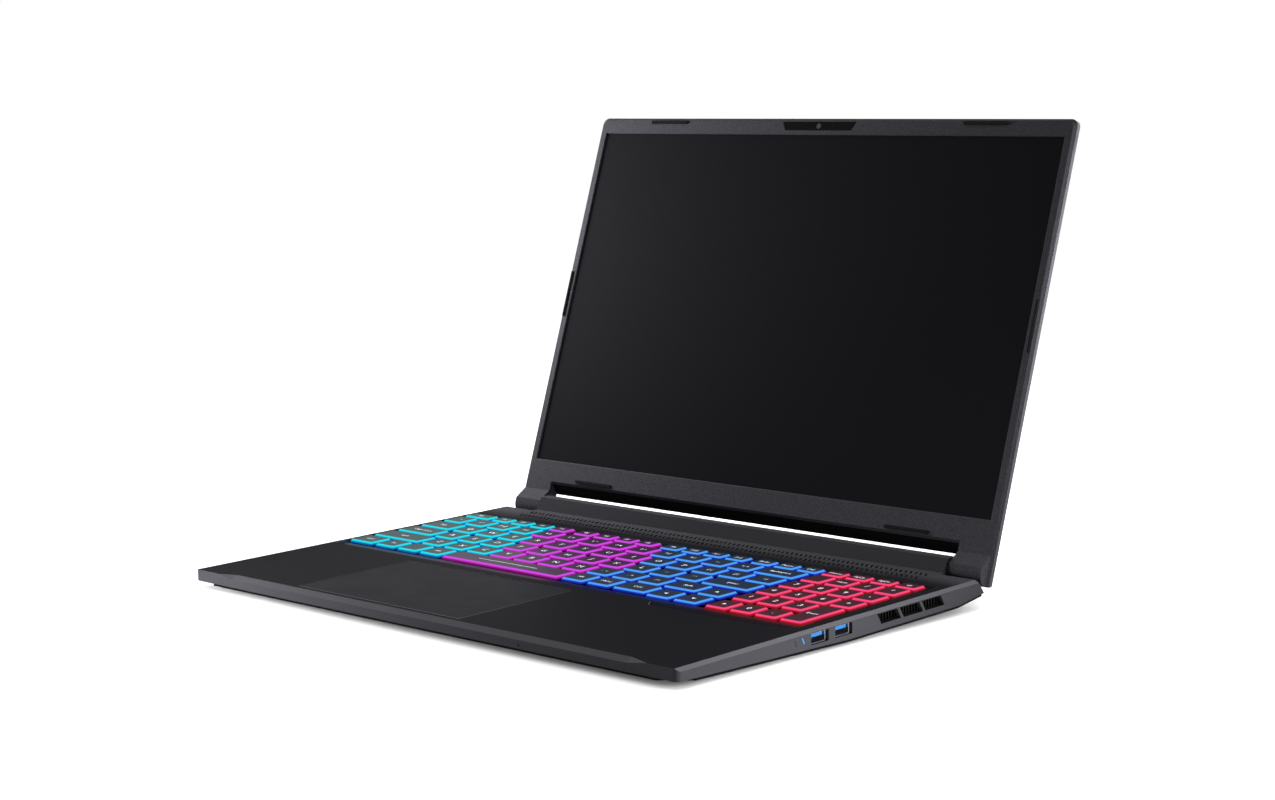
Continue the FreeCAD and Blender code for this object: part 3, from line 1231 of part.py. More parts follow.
def make_bezel(body):
    """Screen frame with the front halves of the hinge blocks."""
    foot = lid_outline(LID_HALF - SLIP, LID_TOP - SLIP, SEAM)
    face = lid_outline(BEZEL_HALF, BEZEL_TOP, LID_FRONT)
    draw = Part.makeLoft([foot, face], True, True)
    ahead = Part.Face(face).extrude(V(0, 0, DEEP))
    bezel = body.common(joined(draw, [ahead]))
    half = WINDOW_WIDTH / 2
    flare = WINDOW_FLARE
    low = WINDOW_BOTTOM
    high = WINDOW_BOTTOM + WINDOW_HEIGHT
    def opening(grow, z):
        return [V(-half - grow, low - grow, z), V(half + grow, low - grow, z),
                V(half + grow, high + grow, z), V(-half - grow, high + grow, z)]
    window = ruled(opening(0, SEAM - 1), opening(0, LID_FRONT - LIP_THICK / 2), opening(flare, LID_FRONT))
    panel_half, panel_low, panel_high = panel_size()
    rabbet = box(-panel_half - SLIP, panel_half + SLIP, panel_low - SLIP, panel_high + SLIP,
                 SEAM - 1, LID_FRONT - LIP_THICK)
    pocket = prism_z(camera_outline(SLIP / 2), LID_FRONT - CAMERA_INSET, LID_FRONT + 1)
    sight = rod_z(0, CAMERA_Y, SEAM - 1, LID_FRONT, CAMERA_LENS + SLIP)
    return bezel.cut([window, rabbet, pocket, sight, hinge_room(), mirrored(hinge_room())])


def make_back_cover(body):
    """Lid back shell and the antenna strip along its top."""
    plan = Part.Face(lid_outline(LID_HALF, LID_TOP, LID_BACK - 1)).extrude(V(0, 0, SEAM - LID_BACK + 1))
    cover = body.common(plan)
    bevel_z = LID_BACK + LID_BEVEL_RISE
    edge = [(LID_HALF, bevel_z), (LID_HALF - LID_BEVEL_IN, LID_BACK), (LID_HALF - LID_BEVEL_IN, LID_BACK - 2),
            (LID_HALF + 2, LID_BACK - 2), (LID_HALF + 2, bevel_z)]
    side = prism_y(edge, -FAR, FAR)
    rise = LID_TOP - LID_HALF
    top = prism_x([(a + rise, z) for a, z in edge], -FAR, FAR)
    cover = cover.cut([side, mirrored(side), top])
    inside = LID_HALF - LID_RIM
    room = box(-inside, inside, NOTCH_TOP + LID_RIM, LID_TOP - LID_TOP_RIM, LID_BACK + LID_WALL, SEAM + 1)
    slope = [(x - LID_WALL, z + LID_WALL) for x, z in edge]
    corner = prism_y(slope, -FAR, FAR)
    room = room.cut([corner, mirrored(corner), prism_x([(a + rise, z) for a, z in slope], -FAR, FAR)])
    cover = cover.cut([room, hinge_room(), mirrored(hinge_room())])
    strip_zone = box(-FAR, FAR, LID_TOP - ANTENNA_HEIGHT, FAR, -FAR, FAR)
    return cover.cut(strip_zone), cover.common(strip_zone)


def make_panel():
    """Display panel behind the bezel."""
    half, low, high = panel_size()
    front = LID_FRONT - LIP_THICK
    return box(-half, half, low, high, front - PANEL_THICK, front)


def make_camera():
    """Dark camera window in the bezel, and the camera board behind it."""
    window = prism_z(camera_outline(-SLIP / 2), LID_FRONT - CAMERA_INSET, LID_FRONT - 0.05)
    length, height, thick = CAMERA_BOARD
    middle = panel_size()[2] + height / 2 + 0.4
    board = box(-length / 2, length / 2, middle - height / 2, middle + height / 2, SEAM - thick, SEAM)
    lens = rod_z(0, CAMERA_Y, SEAM, LID_FRONT - CAMERA_INSET, CAMERA_LENS)
    return window, joined(board, [lens])


def make_bumpers():
    """Soft bumpers on the bezel that meet the deck when the lid is shut."""
    top = LID_FRONT + BUMPER_HEIGHT
    cut = BUMPER_CORNER
    bumpers = []
    for x in (-BUMPER_X, BUMPER_X):
        for y in (BUMPER_TOP_Y, BUMPER_BOTTOM_Y):
            bumpers.append(pad_block(x, y, BUMPER_LENGTH, BUMPER_WIDTH, LID_FRONT, top, cut))
    for x in (-BUMPER_SIDE_X, BUMPER_SIDE_X):
        bumpers.append(pad_block(x, BUMPER_SIDE_Y, BUMPER_SIDE_WIDTH, BUMPER_LENGTH, LID_FRONT, top, cut))
    return Part.makeCompound(bumpers)


def make_hinge_arm():
    """Right lid arm: a knuckle on the shaft and a leaf up the inside of the back cover."""
    knuckle = rod_x(ARM_START, ARM_END, 0, 0, KNUCKLE_RADIUS)
    back = LID_BACK + LID_WALL
    web = box(ARM_START, ARM_END, 0, KNUCKLE_RADIUS, back, 0)
    leaf = box(ARM_START, ARM_END - 2, 0, ARM_LENGTH, back, back + ARM_THICK)
    bore = rod_x(ARM_START - 1, ARM_END + 1, 0, 0, SHAFT_RADIUS + RUNNING_CLEARANCE / 2)
    return joined(knuckle, [web, leaf]).cut(bore)


def make_hinge_shaft():
    """Right hinge shaft with a nut, fixed in the lid arm and turning in the base bracket."""
    nut_end = KNUCKLE_START - 2 * SLIP
    shaft = rod_x(nut_end - NUT_LENGTH, ARM_END, 0, 0, SHAFT_RADIUS)
    nut = rod_x(nut_end - NUT_LENGTH, nut_end, 0, 0, SHAFT_RADIUS * 1.5)
    return joined(shaft, [nut])


def build():
    """All pieces by node name, in the table frame."""
    layout = key_layout()
    deck_pieces = {
        "keyboard_plate": make_keyboard_plate(layout),
        "touchpad": make_touchpad(),
        "touchpad_bracket": make_touchpad_bracket(),
        "port_boards": make_port_boards(),
        "audio_socket": make_audio_socket(),
        "status_lights": make_status_lights(),
        "vent_grilles": make_vent_grilles(),
        "main_board": make_main_board(),
        "processor_plates": make_processor_plates(),
        "heat_pipes": make_heat_pipes(),
        "memory_modules": make_memory(),
        "storage_drive": make_storage(),
        "wireless_card": make_wireless_card(),
        "battery_pack": make_battery(),
    }
    deck_pieces["usb_shells"], deck_pieces["usb_tongues"] = make_usb()
    sockets = {}
    for name, x, size in rear_sockets():
        sockets.setdefault(name, []).append(make_rear_socket(x, size))
    for name, shapes in sockets.items():
        deck_pieces[name] = Part.makeCompound(shapes)
    for name, keys in layout.items():
        deck_pieces[name] = Part.makeCompound([key_cap(key) for key in keys])
    pairs = {
        "fan_housing": make_fan_housing(),
        "fan_rotor": make_fan_rotor(),
        "fin_stacks": make_fin_stacks(),
        "speaker": make_speaker(),
        "hinge_bracket": make_hinge_bracket(),
        "hinge_arm": lid_to_deck(make_hinge_arm()),
        "hinge_shaft": lid_to_deck(make_hinge_shaft()),
    }
    for name, shape in pairs.items():
        deck_pieces["right_" + name] = shape
        deck_pieces["left_" + name] = mirrored(shape)
    body = lid_body()
    back_cover, antenna_strip = make_back_cover(body)
    camera_window, camera_module = make_camera()
    lid_pieces = {
        "screen_bezel": make_bezel(body),
        "lid_back_cover": back_cover,
        "antenna_strip": antenna_strip,
        "display_panel": make_panel(),
        "camera_window": camera_window,
        "camera_module": camera_module,
        "screen_bumpers": make_bumpers(),
    }
    for name, shape in lid_pieces.items():
        deck_pieces[name] = lid_to_deck(shape)
    pieces = {name: deck_to_table(shape) for name, shape in deck_pieces.items()}
    pieces["top_case"], pieces["rear_bar"], pieces["port_frames"] = make_case(layout)
    pieces["bottom_cover"] = make_bottom_cover()
    pieces["bottom_screws"] = make_screws()
    pieces["front_feet"], pieces["rear_foot"] = make_feet()
    return pieces


def middle_y(pieces):
    """Middle of the whole part's box along Y, which becomes the origin."""
    boxes = [shape.optimalBoundingBox() for shape in pieces.values()]
    return (min(b.YMin for b in boxes) + max(b.YMax for b in boxes)) / 2


PIECES = build()
ORIGIN_Y = middle_y(PIECES)
os.makedirs("parts", exist_ok=True)
for node, piece in PIECES.items():
    piece.translate(V(0, -ORIGIN_Y, 0))
    piece.exportStep("parts/" + node + ".step")
print(len(PIECES), "nodes written, origin at Y", round(ORIGIN_Y, 3))
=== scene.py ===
"""Looks of a sixteen-inch laptop computer with a lit keyboard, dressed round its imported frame."""
import json
import logging
import math
from dataclasses import dataclass, field
from enum import Enum, IntEnum
from typing import Iterable, Sequence

import bmesh
import bpy
from mathutils import Matrix, Vector


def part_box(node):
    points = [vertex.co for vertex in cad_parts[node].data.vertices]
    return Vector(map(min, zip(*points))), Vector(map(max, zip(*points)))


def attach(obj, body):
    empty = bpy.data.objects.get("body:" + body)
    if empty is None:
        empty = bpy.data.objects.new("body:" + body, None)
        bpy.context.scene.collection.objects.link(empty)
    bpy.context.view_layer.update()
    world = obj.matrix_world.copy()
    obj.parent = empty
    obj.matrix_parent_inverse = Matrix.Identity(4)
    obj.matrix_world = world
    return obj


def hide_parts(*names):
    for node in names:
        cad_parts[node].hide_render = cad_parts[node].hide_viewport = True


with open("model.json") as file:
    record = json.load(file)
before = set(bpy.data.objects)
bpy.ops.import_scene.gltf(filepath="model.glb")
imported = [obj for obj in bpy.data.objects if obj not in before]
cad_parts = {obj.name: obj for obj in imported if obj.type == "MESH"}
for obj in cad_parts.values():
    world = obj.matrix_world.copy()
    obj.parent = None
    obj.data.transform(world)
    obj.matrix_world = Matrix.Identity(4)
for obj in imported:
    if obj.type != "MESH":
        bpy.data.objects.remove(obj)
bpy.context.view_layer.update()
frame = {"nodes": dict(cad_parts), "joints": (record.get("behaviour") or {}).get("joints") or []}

log = logging.getLogger("laptop")

MM = 0.001
WHITE = (1.0, 1.0, 1.0)
WELD = 1e-6
NOISE_BAND = (0.3, 0.7)
MIX_SOCKETS = {"RGBA": (6, 7, 2), "FLOAT": (2, 3, 0)}

Colour = tuple[float, float, float]
Place = tuple[float, float, float]
Point = tuple[float, float]
Outline = list[Point]
Band = tuple[float, float]
Key = tuple[Vector, Vector, Vector, Vector]
Socket = bpy.types.NodeSocket
Value = Socket | Colour | Vector | float
Material = bpy.types.Material
Ring = list[bmesh.types.BMVert]


def srgb(red: int, green: int, blue: int) -> Colour:
    """Linear colour of a display colour.

    Args:
        red: Red from 0 to 255.
        green: Green from 0 to 255.
        blue: Blue from 0 to 255.

    Returns:
        The three linear parts, from 0 to 1.
    """
    def linear(part: int) -> float:
        """One part, from display to linear."""
        share = part / 255
        return share / 12.92 if share <= 0.04045 else ((share + 0.055) / 1.055) ** 2.4
    return linear(red), linear(green), linear(blue)


class DeckFrame:
    """Palm-rest frame in millimetres: X right, Y from the front edge to the back, Z off the deck."""

    FRONT_HEIGHT: float = 10.6
    PRESS_JOINT: str = "space_bar_press"

    def __init__(self) -> None:
        """Reads the deck's tilt and front edge from the frame."""
        axis = next(j["axis"] for j in frame["joints"] if j["name"] == self.PRESS_JOINT)
        self.tilt: float = math.atan2(-axis[1], axis[2])
        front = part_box("top_case")[0].y
        place = Matrix.Translation((0, front, self.FRONT_HEIGHT * MM))
        self.to_row: Matrix = place @ Matrix.Rotation(self.tilt, 4, "X") @ Matrix.Scale(MM, 4)
        self.from_row: Matrix = self.to_row.inverted()
        self.up: Vector = Vector((0, -math.sin(self.tilt), math.cos(self.tilt)))


class LidFrame:
    """Lid frame in millimetres: X right, Y up the screen from the hinge, Z out of the screen."""

    HINGE: str = "lid_hinge"

    def __init__(self, deck: DeckFrame) -> None:
        """Reads the hinge from the frame.

        Args:
            deck: The palm-rest frame, whose tilt the lid's opening angle is counted from.
        """
        joint = next(j for j in frame["joints"] if j["name"] == self.HINGE)
        turn = math.pi - math.radians(joint["range_deg"][1]) + deck.tilt
        place = Matrix.Translation(joint["pos_m"])
        self.to_row: Matrix = place @ Matrix.Rotation(turn, 4, "X") @ Matrix.Scale(MM, 4)
        self.from_row: Matrix = self.to_row.inverted()


def corners(points: Sequence[Vector]) -> tuple[Vector, Vector]:
    """Lowest and highest corners of a set of points."""
    low, high = (Vector([pick(p[i] for p in points) for i in range(3)]) for pick in (min, max))
    return low, high


def islands(node: str, from_row: Matrix) -> list[list[Vector]]:
    """Points of each separate solid of a node.

    Args:
        node: Name of the node.
        from_row: Matrix from the row frame to the wanted frame.

    Returns:
        The points of each solid, in the wanted frame.
    """
    mesh = bmesh.new()
    mesh.from_mesh(frame["nodes"][node].data)
    bmesh.ops.remove_doubles(mesh, verts=mesh.verts, dist=WELD)
    left = set(mesh.verts)
    found = []
    while left:
        group, edge = set(), {left.pop()}
        while edge:
            group |= edge
            edge = {e.other_vert(v) for v in edge for e in v.link_edges} - group
        left -= group
        found.append([from_row @ v.co for v in group])
    mesh.free()
    return found


class NodeMaker:
    """Node tree that starts empty, with short ways to add and join its nodes."""

    def __init__(self, tree: bpy.types.NodeTree) -> None:
        """Empties the node tree of a material, a world or a modifier."""
        self.tree = tree
        tree.nodes.clear()

    def node(self, kind: str, inputs: dict[str | int, Value] | None = None,
             **settings: object) -> bpy.types.Node:
        """New node.

        Args:
            kind: Kind of the node.
            inputs: Sockets to join to its inputs, or constants to set on them, by name or place.
            settings: The node's own settings.

        Returns:
            The node.
        """
        made = self.tree.nodes.new(kind)
        for name, value in settings.items():
            setattr(made, name, value)
        for name, value in (inputs or {}).items():
            self.feed(made.inputs[name], value)
        return made

    def feed(self, target: Socket, value: Value) -> None:
        """Joins a socket to an input, or sets a constant on it.

        Args:
            target: The input.
            value: Socket to join to it, or constant to set on it.
        """
        if isinstance(value, bpy.types.NodeSocket):
            self.tree.links.new(value, target)
        else:
            target.default_value = (*value, 1.0) if isinstance(value, tuple) else value

    def math(self, operation: str, first: Socket | float, second: Socket | float) -> Socket:
        """Result of a sum on sockets or numbers, held between 0 and 1."""
        node = self.node("ShaderNodeMath", {0: first, 1: second}, operation=operation, use_clamp=True)
        return node.outputs["Value"]

    def ramp(self, value: Socket, low: float, high: float, start: float = 0.0, end: float = 1.0) -> Socket:
        """Value carried from one range to another and held inside it."""
        ends = {"From Min": start, "From Max": end, "To Min": low, "To Max": high}
        return self.node("ShaderNodeMapRange", {"Value": value, **ends}, clamp=True).outputs["Result"]

    def seen_rays(self) -> Socket:
        """Tells the rays that look at a surface from those that light it.

        Returns:
            One for rays from the camera, a mirror or glass, and nought for the light's own rays.
        """
        path = self.node("ShaderNodeLightPath")
        total = path.outputs["Is Camera Ray"]
        for name in ("Is Glossy Ray", "Is Transmission Ray"):
            total = self.math("MAXIMUM", total, path.outputs[name])
        return total


class Graph(NodeMaker):
    """Node tree of one material, with a principled shader at its end."""

    def __init__(self, name: str) -> None:
        """Starts an empty material.

        Args:
            name: Name of the material.
        """
        self.material: Material = bpy.data.materials.new(name)
        self.material.use_nodes = True
        super().__init__(self.material.node_tree)
        self.shader = self.node("ShaderNodeBsdfPrincipled")
        self.node("ShaderNodeOutputMaterial", {"Surface": self.shader.outputs["BSDF"]})

    def to(self, name: str, value: Value) -> None:
        """Joins a socket to one of the shader's inputs, or sets a constant on it."""
        self.feed(self.shader.inputs[name], value)

    def joined_to(self, name: str) -> Socket:
        """Socket that is already joined to one of the shader's inputs."""
        return self.shader.inputs[name].links[0].from_socket

    def coordinates(self, turn: Matrix | None = None) -> Socket:
        """Object coordinates, in metres or in one of the part's own frames.

        Args:
            turn: Matrix from the row frame to the wanted frame, or nothing for the row frame.

        Returns:
            The vector socket.
        """
        source = self.node("ShaderNodeTexCoord").outputs["Object"]
        if turn is None:
            return source
        moves = {"Location": turn.to_translation(), "Rotation": turn.to_euler(), "Scale": turn.to_scale()}
        return self.node("ShaderNodeMapping", {"Vector": source, **moves}).outputs["Vector"]

    def axis(self, vector: Socket, name: str) -> Socket:
        """One part of a vector: X, Y or Z."""
        return self.node("ShaderNodeSeparateXYZ", {"Vector": vector}).outputs[name]

    def facing(self, direction: Vector, start: float, end: float) -> Socket:
        """Nought to one as the surface turns towards a direction.

        Args:
            direction: Direction in the object's own frame.
            start: Cosine of the angle where the value starts to rise.
            end: Cosine where it reaches one.

        Returns:
            The value socket.
        """
        normal = self.node("ShaderNodeTexCoord").outputs["Normal"]
        dot = self.node("ShaderNodeVectorMath", {0: normal, 1: direction}, operation="DOT_PRODUCT")
        return self.ramp(dot.outputs["Value"], 0.0, 1.0, start, end)

    def attribute(self, name: str, output: str = "Color") -> Socket:
        """What the mesh carries under a name, as a colour or as a number."""
        return self.node("ShaderNodeAttribute", attribute_name=name).outputs[output]

    def noise(self, vector: Socket, size: float, detail: float = 2.0) -> Socket:
        """Noise from 0 to 1 over coordinates in metres, with features of a size in millimetres."""
        inputs = {"Vector": vector, "Scale": 1 / (size * MM), "Detail": detail}
        return self.node("ShaderNodeTexNoise", inputs).outputs["Fac"]

    def mix(self, share: Socket, first: Value, second: Value, data: str = "RGBA") -> Socket:
        """Colour between two others, or number where the data is FLOAT."""
        low, high, out = MIX_SOCKETS[data]
        return self.node("ShaderNodeMix", {0: share, low: first, high: second}, data_type=data).outputs[out]

    def soft_edge(self, radius: float) -> Socket:
        """Normal that is rounded along edges, by a radius in millimetres."""
        return self.node("ShaderNodeBevel", {"Radius": radius * MM}, samples=4).outputs["Normal"]

    def bump(self, height: Socket, depth: float, normal: Socket | None = None) -> None:
        """Small relief on the surface.

        Args:
            height: Height from 0 to 1.
            depth: Depth of the relief, in millimetres.
            normal: Normal to start from, or nothing for the surface's own.
        """
        inputs = {"Height": height, "Distance": depth * MM}
        if normal is not None:
            inputs["Normal"] = normal
        self.to("Normal", self.node("ShaderNodeBump", inputs).outputs["Normal"])


@dataclass(frozen=True)
class Plastic:
    """Moulded or painted surface with a fine grain, faint clouds and rounded edges.

    Lengths are in millimetres, and the size of a cloud is counted in grains.
    """

    name: str
    colour: Colour
    roughness: float = 0.5
    specular: float = 0.3
    grain: float = 0.6
    depth: float = 0.02
    mottle: float = 0.25
    edge: float = 0.25
    cloud: float = 60.0
    swing: float = 0.03

    def graph(self) -> Graph:
        """Graph of the finish, before anything is added to it.

        Returns:
            The graph, with colour, roughness and relief joined to the shader.
        """
        g = Graph(self.name)
        g.to("Specular IOR Level", self.specular)
        place = g.coordinates()
        grain = g.noise(place, self.grain)
        cloud = g.noise(place, self.grain * self.cloud, detail=3.0)
        darker = tuple(part * (1 - self.mottle) for part in self.colour)
        lighter = tuple(part * (1 + self.mottle) for part in self.colour)
        g.to("Base Color", g.mix(g.ramp(grain, 0.0, 1.0, *NOISE_BAND), darker, lighter))
        smooth, rough = self.roughness - self.swing, self.roughness + self.swing
        g.to("Roughness", g.ramp(cloud, smooth, rough, *NOISE_BAND))
        g.bump(grain, self.depth, g.soft_edge(self.edge) if self.edge else None)
        return g

    def material(self) -> Material:
        """Material of the finish by itself."""
        return self.graph().material


class Glow(Enum):
    """Light zones of the keyboard: rim colour and the deeper colour at the foot of a key."""

    LEFT = (srgb(28, 226, 236), srgb(0, 120, 205))
    MIDDLE = (srgb(212, 74, 232), srgb(168, 12, 150))
    RIGHT = (srgb(78, 160, 248), srgb(14, 40, 190))
    PAD = (srgb(252, 74, 128), srgb(190, 10, 22))


@dataclass(frozen=True)
class CaseFinish:
    """Upper case: charcoal walls, bevels with a painted highlight, a deck with painted shade that turns to
    painted light at its rear, and a smooth keyboard recess lit by painted key light.

    A change starts and ends with a band: of cosines to the deck's upright where it is called facing, and of
    places in the deck's frame otherwise.
    """

    deck: DeckFrame
    wall: Plastic
    # Painted shade: faces turned to the deck's upright take this colour, darker than the walls, in place of
    # less light from above.
    painted_shade_deck_colour: Colour = srgb(24, 24, 27)
    # Painted highlight: faces that slant halfway up take this paler colour, in place of light caught along
    # the bevels.
    painted_bevel_highlight_colour: Colour = srgb(80, 80, 84)
    # Painted light: the deck turns to this lighter colour towards the rear bar, in place of light grazing the
    # rear strip.
    painted_rear_light_colour: Colour = srgb(56, 56, 59)
    painted_rear_light_band: Band = (220.0, 236.0)
    deck_facing: Band = (0.9, 0.98)
    bevel_highlight_facing: Band = (0.55, 0.7)
    recess_foot: Band = (-3.4, -3.0)
    recess_top: Band = (-0.9, -0.5)
    deck_roughness: float = 0.5
    recess_roughness: float = 0.2
    # Painted light: the recess floor near the keys glows in their zone colours, standing for the keys' light
    # falling on it.
    painted_glow_strength: float = 0.24
    painted_glow_rise: Band = (101.0, 108.0)
    painted_glow_fall: Band = (114.0, 116.0)
    zone_ends: tuple[float, float, float] = (-97.5, -2.5, 102.8)
    zone_blend: float = 4.0

    def material(self) -> Material:
        """Makes the material.

        Returns:
            The material.
        """
        g = self.wall.graph()
        up = g.facing(self.deck.up, *self.deck_facing)
        place = g.coordinates(self.deck.from_row)
        height = g.axis(place, "Z")
        above = g.ramp(height, 0.0, 1.0, *self.recess_foot)
        below = g.ramp(height, 1.0, 0.0, *self.recess_top)
        recess = g.math("MULTIPLY", up, g.math("MULTIPLY", above, below))
        self.add_painted_key_light(g, place, recess)
        # Painted light: the deck's colour grows lighter towards the rear, across the vents.
        back = g.ramp(g.axis(place, "Y"), 0.0, 1.0, *self.painted_rear_light_band)
        top = g.mix(back, self.painted_shade_deck_colour, self.painted_rear_light_colour)
        # Painted highlight: slanted faces turn paler by their angle to the deck's upright.
        bevel = g.facing(self.deck.up, *self.bevel_highlight_facing)
        sides = g.mix(bevel, g.joined_to("Base Color"), self.painted_bevel_highlight_colour)
        # Painted shade: faces turned up take the darker deck colour, with its own matte roughness.
        g.to("Base Color", g.mix(up, sides, top))
        rough = g.mix(up, g.joined_to("Roughness"), self.deck_roughness, "FLOAT")
        g.to("Roughness", g.mix(recess, rough, self.recess_roughness, "FLOAT"))
        return g.material

    def add_painted_key_light(self, g: Graph, place: Socket, recess: Socket) -> None:
        """Paints the keys' light on the front of the recess as emission, though the recess is no lamp.

        Args:
            g: Graph of the finish.
            place: Coordinates in the deck's frame.
            recess: One on the floor of the recess and nought elsewhere.
        """
        tint, *others = (zone.value[1] for zone in Glow)
        for end, colour in zip(self.zone_ends, others):
            across = g.ramp(g.axis(place, "X"), 0.0, 1.0, end - self.zone_blend, end + self.zone_blend)
            tint = g.mix(across, tint, colour)
        g.to("Emission Color", tint)
        depth = g.axis(place, "Y")
        near = g.math("MULTIPLY", g.ramp(depth, 0.0, self.painted_glow_strength, *self.painted_glow_rise),
                      g.ramp(depth, 1.0, 0.0, *self.painted_glow_fall))
        g.to("Emission Strength", g.math("MULTIPLY", recess, near))


@dataclass(frozen=True)
class LightPipes:
    """Light pipes by the sockets: the front one dark, the rear one lit."""

    deck: DeckFrame
    body: Plastic = Plastic("light_pipe", srgb(24, 26, 30), 0.25, grain=0.4, depth=0.005, mottle=0.2,
                            edge=0.1)
    split: Band = (89.3, 89.7)
    colour: Colour = srgb(64, 156, 240)
    strength: float = 0.9

    def material(self) -> Material:
        """Makes the material.

        Returns:
            The material.
        """
        g = self.body.graph()
        along = g.axis(g.coordinates(self.deck.from_row), "Y")
        g.to("Emission Color", self.colour)
        g.to("Emission Strength", g.ramp(along, 0.0, self.strength, *self.split))
        return g.material


@dataclass(frozen=True)
class Metal:
    """Drawn or stamped metal with fine streaks."""

    name: str
    colour: Colour
    roughness: float = 0.3
    streak: float = 0.4
    streak_band: Band = (0.25, 0.75)
    dull: float = 0.72
    swing: Band = (-0.08, 0.1)
    depth: float = 0.01
    edge: float = 0.15

    def material(self) -> Material:
        """Makes the material.

        Returns:
            The material.
        """
        g = Graph(self.name)
        g.to("Metallic", 1.0)
        streaks = g.noise(g.coordinates(), self.streak, detail=4.0)
        dull = tuple(part * self.dull for part in self.colour)
        g.to("Base Color", g.mix(streaks, dull, self.colour))
        smooth, rough = (self.roughness + change for change in self.swing)
        g.to("Roughness", g.ramp(streaks, smooth, rough, *self.streak_band))
        g.bump(streaks, self.depth, g.soft_edge(self.edge))
        return g.material


Finish = Plastic | CaseFinish | LightPipes | Metal


@dataclass(frozen=True)
class KeyRow:
    """Keys of one node in reading order: their legends and how many lie in each light zone."""

    node: str
    legends: tuple[str, ...]
    zones: tuple[int, int, int, int]

    def glows(self) -> list[Glow]:
        """Light zone of each key."""
        return [zone for zone, count in zip(Glow, self.zones) for _ in range(count)]


KEY_ROWS = (
    KeyRow("function_row_keys", ("Esc", *[f"F{i}" for i in range(1, 13)], "PrtSc", "Pause", "Del",
                                 "Home", "PgUp", "PgDn"), (4, 5, 7, 3)),
    KeyRow("power_key", ("power",), (0, 0, 0, 1)),
    KeyRow("number_row_keys", ("` ~", "1 !", "2 @", "3 #", "4 $", "5 %", "6 ^", "7 &", "8 *", "9 (", "0 )",
                               "- _", "= +", "Backspace"), (4, 5, 5, 0)),
    KeyRow("upper_row_keys", ("Tab", *"QWERTYUIOP", "[ {", "] }", "\\ |"), (4, 5, 5, 0)),
    KeyRow("home_row_keys", ("Caps Lock", *"ASDFGHJKL", "; :", "' \""), (4, 5, 3, 0)),
    KeyRow("enter_key", ("Enter",), (0, 0, 1, 0)),
    KeyRow("lower_row_keys", ("Shift", *"ZXCVBNM", ", <", ". >", "/ ?", "Shift"), (4, 4, 4, 0)),
    KeyRow("bottom_row_keys", ("Ctrl", "Fn", "", "Alt", "Alt", "Menu", "Ctrl"), (4, 0, 3, 0)),
    KeyRow("space_bar", ("line",), (0, 1, 0, 0)),
    KeyRow("arrow_keys", ("up", "left", "down", "right"), (0, 0, 3, 1)),
    KeyRow("number_pad_keys", ("", "Num", "/", "*", *"789-456+123", "0", "."), (0, 0, 0, 17)),
    KeyRow("number_pad_enter", ("Enter",), (0, 0, 0, 1)),
)


@dataclass(frozen=True)
class KeyFinish:
    """The three materials of a key cap: tinted top, lit skirt and pale legend.

    A pair of strengths runs from least to most, and a band says where on the noise, or on the rim from foot
    to edge, a change starts and ends.
    """

    film: Colour = srgb(26, 26, 28)
    film_tint: float = 0.04
    film_roughness: Band = (0.42, 0.52)
    film_strength: Band = (0.012, 0.03)
    skirt_colour: Colour = srgb(12, 12, 14)
    skirt_strength: Band = (1.02, 1.2)
    cloud_band: Band = (0.3, 0.6)
    foot_share: float = 0.4
    rim_band: Band = (0.0, 0.7)
    bright_band: Band = (0.5, 0.75)
    legend_colour: Colour = srgb(190, 190, 196)
    legend_light: Colour = srgb(235, 235, 240)
    legend_tint: Band = (0.1, 0.3)
    legend_strength: float = 0.8

    def top(self) -> Material:
        """Dark film, tinted by the light below it.

        Returns:
            The material.
        """
        g = Graph("key_top")
        g.to("Specular IOR Level", 0.14)
        grain = g.noise(g.coordinates(), size=0.5)
        glow = g.attribute("glow")
        g.to("Base Color", g.mix(g.math("MULTIPLY", grain, self.film_tint), self.film, glow))
        g.to("Roughness", g.ramp(grain, *self.film_roughness))
        g.to("Emission Color", glow)
        g.to("Emission Strength", g.ramp(g.attribute("rim", "Fac"), *self.film_strength))
        g.bump(grain, depth=0.01)
        return g.material

    def skirt(self) -> Material:
        """Clear skirt lit from below, deeper in colour at its foot.

        Returns:
            The material.
        """
        g = Graph("key_skirt")
        g.to("Base Color", self.skirt_colour)
        g.to("Roughness", 0.4)
        g.to("Specular IOR Level", 0.02)
        rim = g.attribute("rim", "Fac")
        bright = g.ramp(rim, 0.0, 1.0, *self.bright_band)
        g.to("Emission Color", g.mix(bright, g.attribute("deep"), g.attribute("glow")))
        cloud = g.noise(g.coordinates(), size=3.0)
        even = g.ramp(cloud, *self.skirt_strength, *self.cloud_band)
        fade = g.ramp(rim, self.foot_share, 1.0, *self.rim_band)
        g.to("Emission Strength", g.math("MULTIPLY", even, fade))
        return g.material

    def legend(self) -> Material:
        """Pale printed sign with a little of the key's light in it.

        Returns:
            The material.
        """
        g = Graph("key_legend")
        g.to("Base Color", self.legend_colour)
        g.to("Roughness", 0.5)
        g.to("Specular IOR Level", 0.2)
        g.to("Emission Strength", self.legend_strength)
        tint = g.ramp(g.noise(g.coordinates(), size=2.0), *self.legend_tint)
        g.to("Emission Color", g.mix(tint, self.legend_light, g.attribute("glow")))
        return g.material


